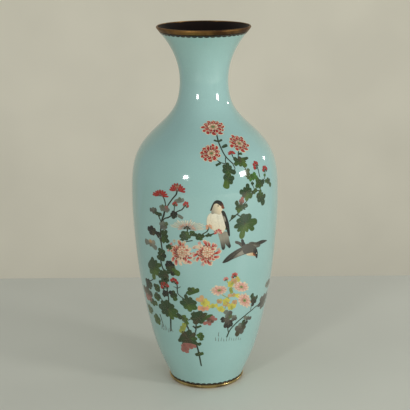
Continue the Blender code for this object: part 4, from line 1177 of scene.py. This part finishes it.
def addCentre(s):
    leaves = [
        ((-24.2, 110), [(-27.2, 114, 3, "dark"), (-21.4, 107, 4, "dark"), (-25, 105.8, 4, "dark")]),
        ((-19.5, 106.6), [(-20, 113, 6, "olive"), (-17.2, 109, 4, "olive"), (-18.4, 99.4, 6, "olive"),
            (-22.4, 104.2, 5, "moss")]),
        ((-11.4, 147.8), [(-16, 143.8, 6, "green"), (-15.2, 150.4, 5, "dark"), (-5.6, 150.2, 6, "green"),
            (-9.6, 152.2, 4, "olive")]),
        ((-15.5, 129.2), [(-17.6, 142, 5, "dark"), (-13.2, 139, 6, "dark"), (-23, 131, 6, "blue"),
            (-20.2, 136.4, 5, "dark"), (-8, 132, 7, "dark"), (-7.8, 123.6, 8, "green"),
            (-14, 118.6, 9, "olive"), (-18.8, 122, 8, "green")]),
        ((-6, 110.6), [(-13.4, 116, 6, "dark"), (-4, 120, 9, "dark"), (1.2, 116.6, 7, "brown"),
            (6, 114.4, 7, "green"), (-3.4, 102.6, 7, "dark"), (-11.6, 102.4, 8, "brown"),
            (-14.2, 109, 6, "dark")]),
        ((-6, 98), [(-9, 96.6, 3, "dark"), (-4.6, 99.4, 3, "green")]),
        ((-11.2, 97), [(-12.4, 98.2, 3, "brown"), (-9.4, 95.8, 3, "deep")]),
        ((-18, 79), [(-23.4, 89, 6, "brown"), (-15, 92, 7, "dark"), (-11, 88.6, 6, "brown"),
            (-29.6, 73, 6, "dark"), (-25.6, 70, 7, "brown"), (-9, 80, 6, "green"), (-9.2, 71.4, 7, "dark"),
            (-16, 69, 9, "brown"), (-21, 69, 8, "brown")]),
        ((-7.3, 72.2), [(-10, 72.4, 3, "dark"), (-5, 73.4, 4, "dark"), (-7, 69.6, 4, "green")]),
        ((-7.4, 57), [(-12, 55.4, 4, "dark"), (-3, 58.8, 4, "green"), (-7.6, 60.4, 4, "dark")]),
    ]
    addLeaves(s, "green", leaves, fullFrom=7)
    leafCell(s, "lightGreen", (-5.6, 83.6), [(-9.4, 85.6, 5, "bright"), (-5, 89.4, 7, "green"),
                                             (-1.8, 84, 7, "green"), (-4.6, 77.6, 7, "green"),
                                             (-8.2, 81.6, 4, "bright")])
    leafCell(s, "lightGreen", (-23.3, 93.6), [(-25.8, 86.6, 5, "lime"), (-20.2, 101, 5, "lime"),
                                              (-25, 96, 4, "lime")])
    rose = [
        ((4.4, 107), [(10.4, 108.6, 8, "rose"), (7.6, 112.6, 5, "rose"), (2.2, 100.2, 8, "rose"),
            (-2.2, 101.4, 5, "rose"), (7.4, 104.4, 6, "brown"), (0.6, 108, 6, "brown")]),
        ((-16.6, 68.6), [(-25, 69.2, 5, "rose"), (-10.4, 68, 5, "rose"), (-14.4, 64.4, 5, "rose")]),
        ((-22.5, 63.6), [(-26.8, 58.4, 6, "rose"), (-22, 56.8, 7, "rose"), (-18.2, 65, 7, "rose"),
            (-24.6, 70, 7, "rose")]),
    ]
    addLeaves(s, "rose", rose, 0.2)
    stems = [
        ([(-10.6, 119.4), (-12, 112), (-11.4, 104)], 1.8),
        ([(-18.6, 100.4), (-17.6, 95), (-15.2, 89.4), (-12.8, 84)], 2.2),
        ([(-9.4, 103), (-9.4, 96), (-10.4, 88.6)], 1.9),
        ([(-16.8, 142), (-16.4, 144.6), (-14.4, 147)], 1.5),
        ([(-16.6, 106), (-15, 107.6), (-13, 108)], 1.3),
        ([(-10, 71), (-8.6, 63), (-7.6, 54), (-6.8, 46), (-6, 38)], 2.3),
        ([(-16.6, 95), (-18.4, 96.6), (-20.4, 96.4)], 1.1),
    ]
    addStems(s, stems)


def addPaleFlowers(s):
    edge = ("pink", "cream")
    pale = [((11.4, 148.2), (10.8, 6.8), 0, 161), ((32.8, 148.6), (13.4, 6.8), -24, 165),
            ((38, 128.6), (14.4, 8.0), -38, 169)]
    for at, size, tilt, seed in pale:
        flowerDisc(s, "pink", at, size, "pink", tilt, -0.4, 0.84)
        flowerRing(s, "pink", at, size, 12, 0.36, 1.0, ("pink", "blush", "cream"), tilt, level=0.1,
                   curl=0.14, seed=seed, fill=0.7, edge=edge, uneven=0.12)
        flowerRing(s, "pink", at, size, 8, 0.26, 0.7, ("salmon", "blush", "blush"), tilt, level=0.6,
                   curl=-0.14, seed=seed + 1, fill=0.7, edge=edge, uneven=0.1)
        flowerDisc(s, "yellow", at, size, "pale", tilt, 0.9, 0.28, 14, True)
        flowerRing(s, "yellow", at, size, 7, 0.08, 0.28, ("pale", "lime", "cream"), tilt, level=1.2,
                   seed=seed + 2)
    budCells(s, (17.2, 161.4), (3.8, 4.8), 8, 175, ("red", "pink", "pink"))
    budCells(s, (25.2, 164.4), (5.2, 6), 16, 179, ("red", "red", "pink"))
    yellow = [
        ((21.7, 154.6), [(19.6, 158.4, 5, "yellow"), (24.2, 157.4, 5, "lime"), (22.6, 150.8, 5, "yellow"),
            (19.2, 152.8, 4, "yellow")]),
        ((22.4, 146), [(21.4, 150, 3, "lime"), (23.8, 142, 3, "lime")]),
        ((25, 158.6), [(22, 160.4, 5, "tan"), (28.2, 160.4, 5, "tan"), (27.4, 156, 4, "tan")]),
        ((28.6, 160.2), [(27.4, 164, 3, "yellow"), (30, 157, 4, "yellow")]),
        ((25.5, 139), [(19.6, 139.8, 4, "tan"), (25, 142, 5, "tan"), (31.4, 136.8, 5, "yellow"),
            (25.5, 136.4, 4, "yellow")]),
        ((18, 132), [(15, 134.4, 6, "yellow"), (19, 136.8, 6, "yellow"), (22, 133.2, 6, "yellow"),
            (20.8, 128.6, 6, "yellow"), (15.6, 128.8, 6, "yellow")]),
        ((13.3, 122.4), [(10, 123.6, 6, "yellow"), (14.6, 126, 6, "yellow"), (16.4, 118.4, 6, "yellow"),
            (11.8, 119, 6, "yellow")]),
        ((24, 124), [(20, 126.4, 6, "yellow"), (24, 128.4, 6, "yellow"), (28.6, 123, 6, "yellow"),
            (25, 119, 6, "lime"), (21.2, 120, 6, "yellow")]),
        ((11.8, 133.2), [(9.6, 134.8, 4, "tan"), (14.2, 135.2, 4, "yellow"), (13.8, 130.6, 4, "tan"),
            (10.2, 131, 4, "tan")]),
        ((19, 127.4), [(15.2, 127.6, 4, "tan"), (20, 130.4, 4, "tan"), (22.4, 126.4, 4, "tan"),
            (18, 125, 4, "tan")]),
        ((26.8, 128.8), [(24.4, 130.6, 4, "tan"), (29.2, 131, 4, "tan"), (29.4, 126.6, 4, "tan")]),
        ((-2, 131.4), [(-8, 138, 7, "tan"), (-4, 142, 8, "tan"), (0.4, 137.8, 7, "yellow"),
            (3.6, 131.6, 7, "yellow"), (-4.6, 131, 6, "yellow"), (0.4, 126.6, 6, "yellow")]),
        ((-2.5, 124), [(-7, 124.8, 6, "orange"), (-2, 127.4, 6, "orange"), (2.6, 124, 6, "orange"),
            (-2, 120, 7, "orange")]),
        ((6, 127.2), [(1.8, 126, 5, "yellow"), (6, 130.6, 6, "yellow"), (10.4, 127.6, 6, "yellow"),
            (6, 124, 5, "lime")]),
    ]
    addLeaves(s, "yellow", yellow, 0.1)
    addStems(s, [([(17.6, 161.6), (18.8, 158), (20.6, 155)], 1.2),
                 ([(25.6, 164.6), (27.6, 162.6), (28.6, 160)], 1.2),
                 ([(22.6, 151), (22.4, 144), (20.6, 137), (18.6, 130), (17.4, 121)], 1.3),
                 ([(14, 142), (17, 139), (20.4, 136.4)], 1.1), ([(24.6, 150), (22.6, 147)], 1.1),
                 ([(31, 137), (34, 133)], 1.1), ([(3, 127), (-1, 129)], 1.0)], "lime", "yellow")


def addGreyBranch(s):
    grey = [
        ((21, 111.6), [(17.8, 119.2, 7, "mist"), (24, 117.6, 7, "grey"), (24.8, 107.6, 6, "moss"),
            (20, 104.6, 6, "grey"), (18, 111, 5, "mist")]),
        ((16.6, 106.4), [(14.4, 109.6, 5, "soot"), (15.8, 102.6, 5, "soot"), (20, 106.4, 5, "slate")]),
        ((22.5, 99.6), [(18, 95, 6, "soot"), (22, 93.2, 6, "soot"), (27, 96.8, 6, "soot"),
            (21, 107, 8, "slate"), (25.8, 104.4, 6, "soot")]),
        ((28, 106.6), [(25.8, 110.4, 5, "mist"), (29.8, 110, 5, "mist"), (31.2, 104.8, 5, "grey"),
            (26.4, 103, 5, "grey")]),
        ((50, 125.6), [(46.8, 135, 7, "blue"), (50.6, 130, 6, "brown"), (56, 127, 6, "blue"),
            (54.4, 120, 6, "deep"), (50.4, 116.4, 7, "soot"), (46, 123.4, 7, "brown")]),
        ((38, 90), [(42, 100, 8, "dark"), (46, 97, 7, "soot"), (44.6, 89.6, 7, "brown"),
            (40, 80.4, 8, "slate"), (33.8, 78.6, 8, "brown"), (30.6, 92, 7, "slate"), (35, 97, 6, "mist")]),
        ((45.2, 101.6), [(40, 104, 4, "mist"), (51, 99, 4, "grey"), (46, 104.2, 4, "mist"),
            (43.4, 98.8, 4, "grey")]),
        ((70, 115), [(61.6, 121.4, 8, "slate"), (70, 125, 9, "slate"), (80.6, 120, 9, "soot"),
            (76, 107.4, 9, "slate"), (66, 106, 8, "slate"), (59, 113, 5, "soot")]),
        ((75.6, 136), [(69, 138, 6, "mist"), (77, 142.4, 7, "mist"), (84, 136, 7, "mist"),
            (76, 130.6, 7, "mist")]),
    ]
    addLeaves(s, "grey", grey)
    addStems(s, [([(21.6, 80), (24.4, 89.6), (29, 96.2), (35, 102), (43, 107.4), (50, 111), (56, 113.6),
                   (61, 113)], 2.0),
                 ([(48, 117.4), (48, 111.4)], 1.4), ([(62, 113.4), (72, 112), (84, 108)], 1.6),
                 ([(22, 94), (22.4, 90), (23.6, 86)], 1.5), ([(45, 99.6), (42, 104.6)], 1.0)])
    grass = dict(blades=11, first=9.8, spacing=3.0, foot=75.6, fall=0.45, lean=0.55, width=0.7)
    g = grass
    rng = np.random.default_rng(7)
    for i in range(g["blades"]):
        turn = g["first"] + i * g["spacing"] + float(rng.uniform(-0.3, 0.3))
        foot = g["foot"] - g["fall"] * i + float(rng.uniform(0, 1.2))
        high = foot + float(rng.uniform(3.4, 6.0))
        lean = g["lean"] * (i % 3 - 1)
        blade = [(turn, foot), (turn + lean * 0.3, (foot + high) / 2), (turn + lean, high)]
        stemCell(s, "stem", blade, g["width"], "grey", taper=0.2)
    stemCell(s, "stem", [(12.6, 83), (12.3, 86), (12.7, 89.4)], 0.8, "grey", taper=0.3)


def buildLowSpray():
    s = Spray()
    addCentre(s)
    addPaleFlowers(s)
    addGreyBranch(s)
    finishSpray("lowSpray", s, dict(
        green=("green_enamel", ("centre_leaf_top", "centre_leaf_spread", "centre_leaf_low")),
        lightGreen=("light_green_enamel", ("centre_leaf_round",)), rose=("pink_enamel", ()),
        pink=("pink_enamel", ("pale_blossom_left", "pale_blossom_right", "pale_blossom_low")),
        yellow=("yellow_enamel", ("yellow_leaf_spread",)), red=("red_enamel", ()),
        grey=("grey_enamel", ("grey_leaf_high", "grey_leaf_right", "grey_leaf_low")),
        stem=("stem_enamel", ("centre_stem",))))


buildVessel()
buildRims()
buildBorders()
buildUpperSpray()
buildLeftSpray()
buildMiddleFlowers()
buildBirds()
buildLowSpray()
buildStage()
buildLight()
buildCamera()
print("stage, light and camera made")
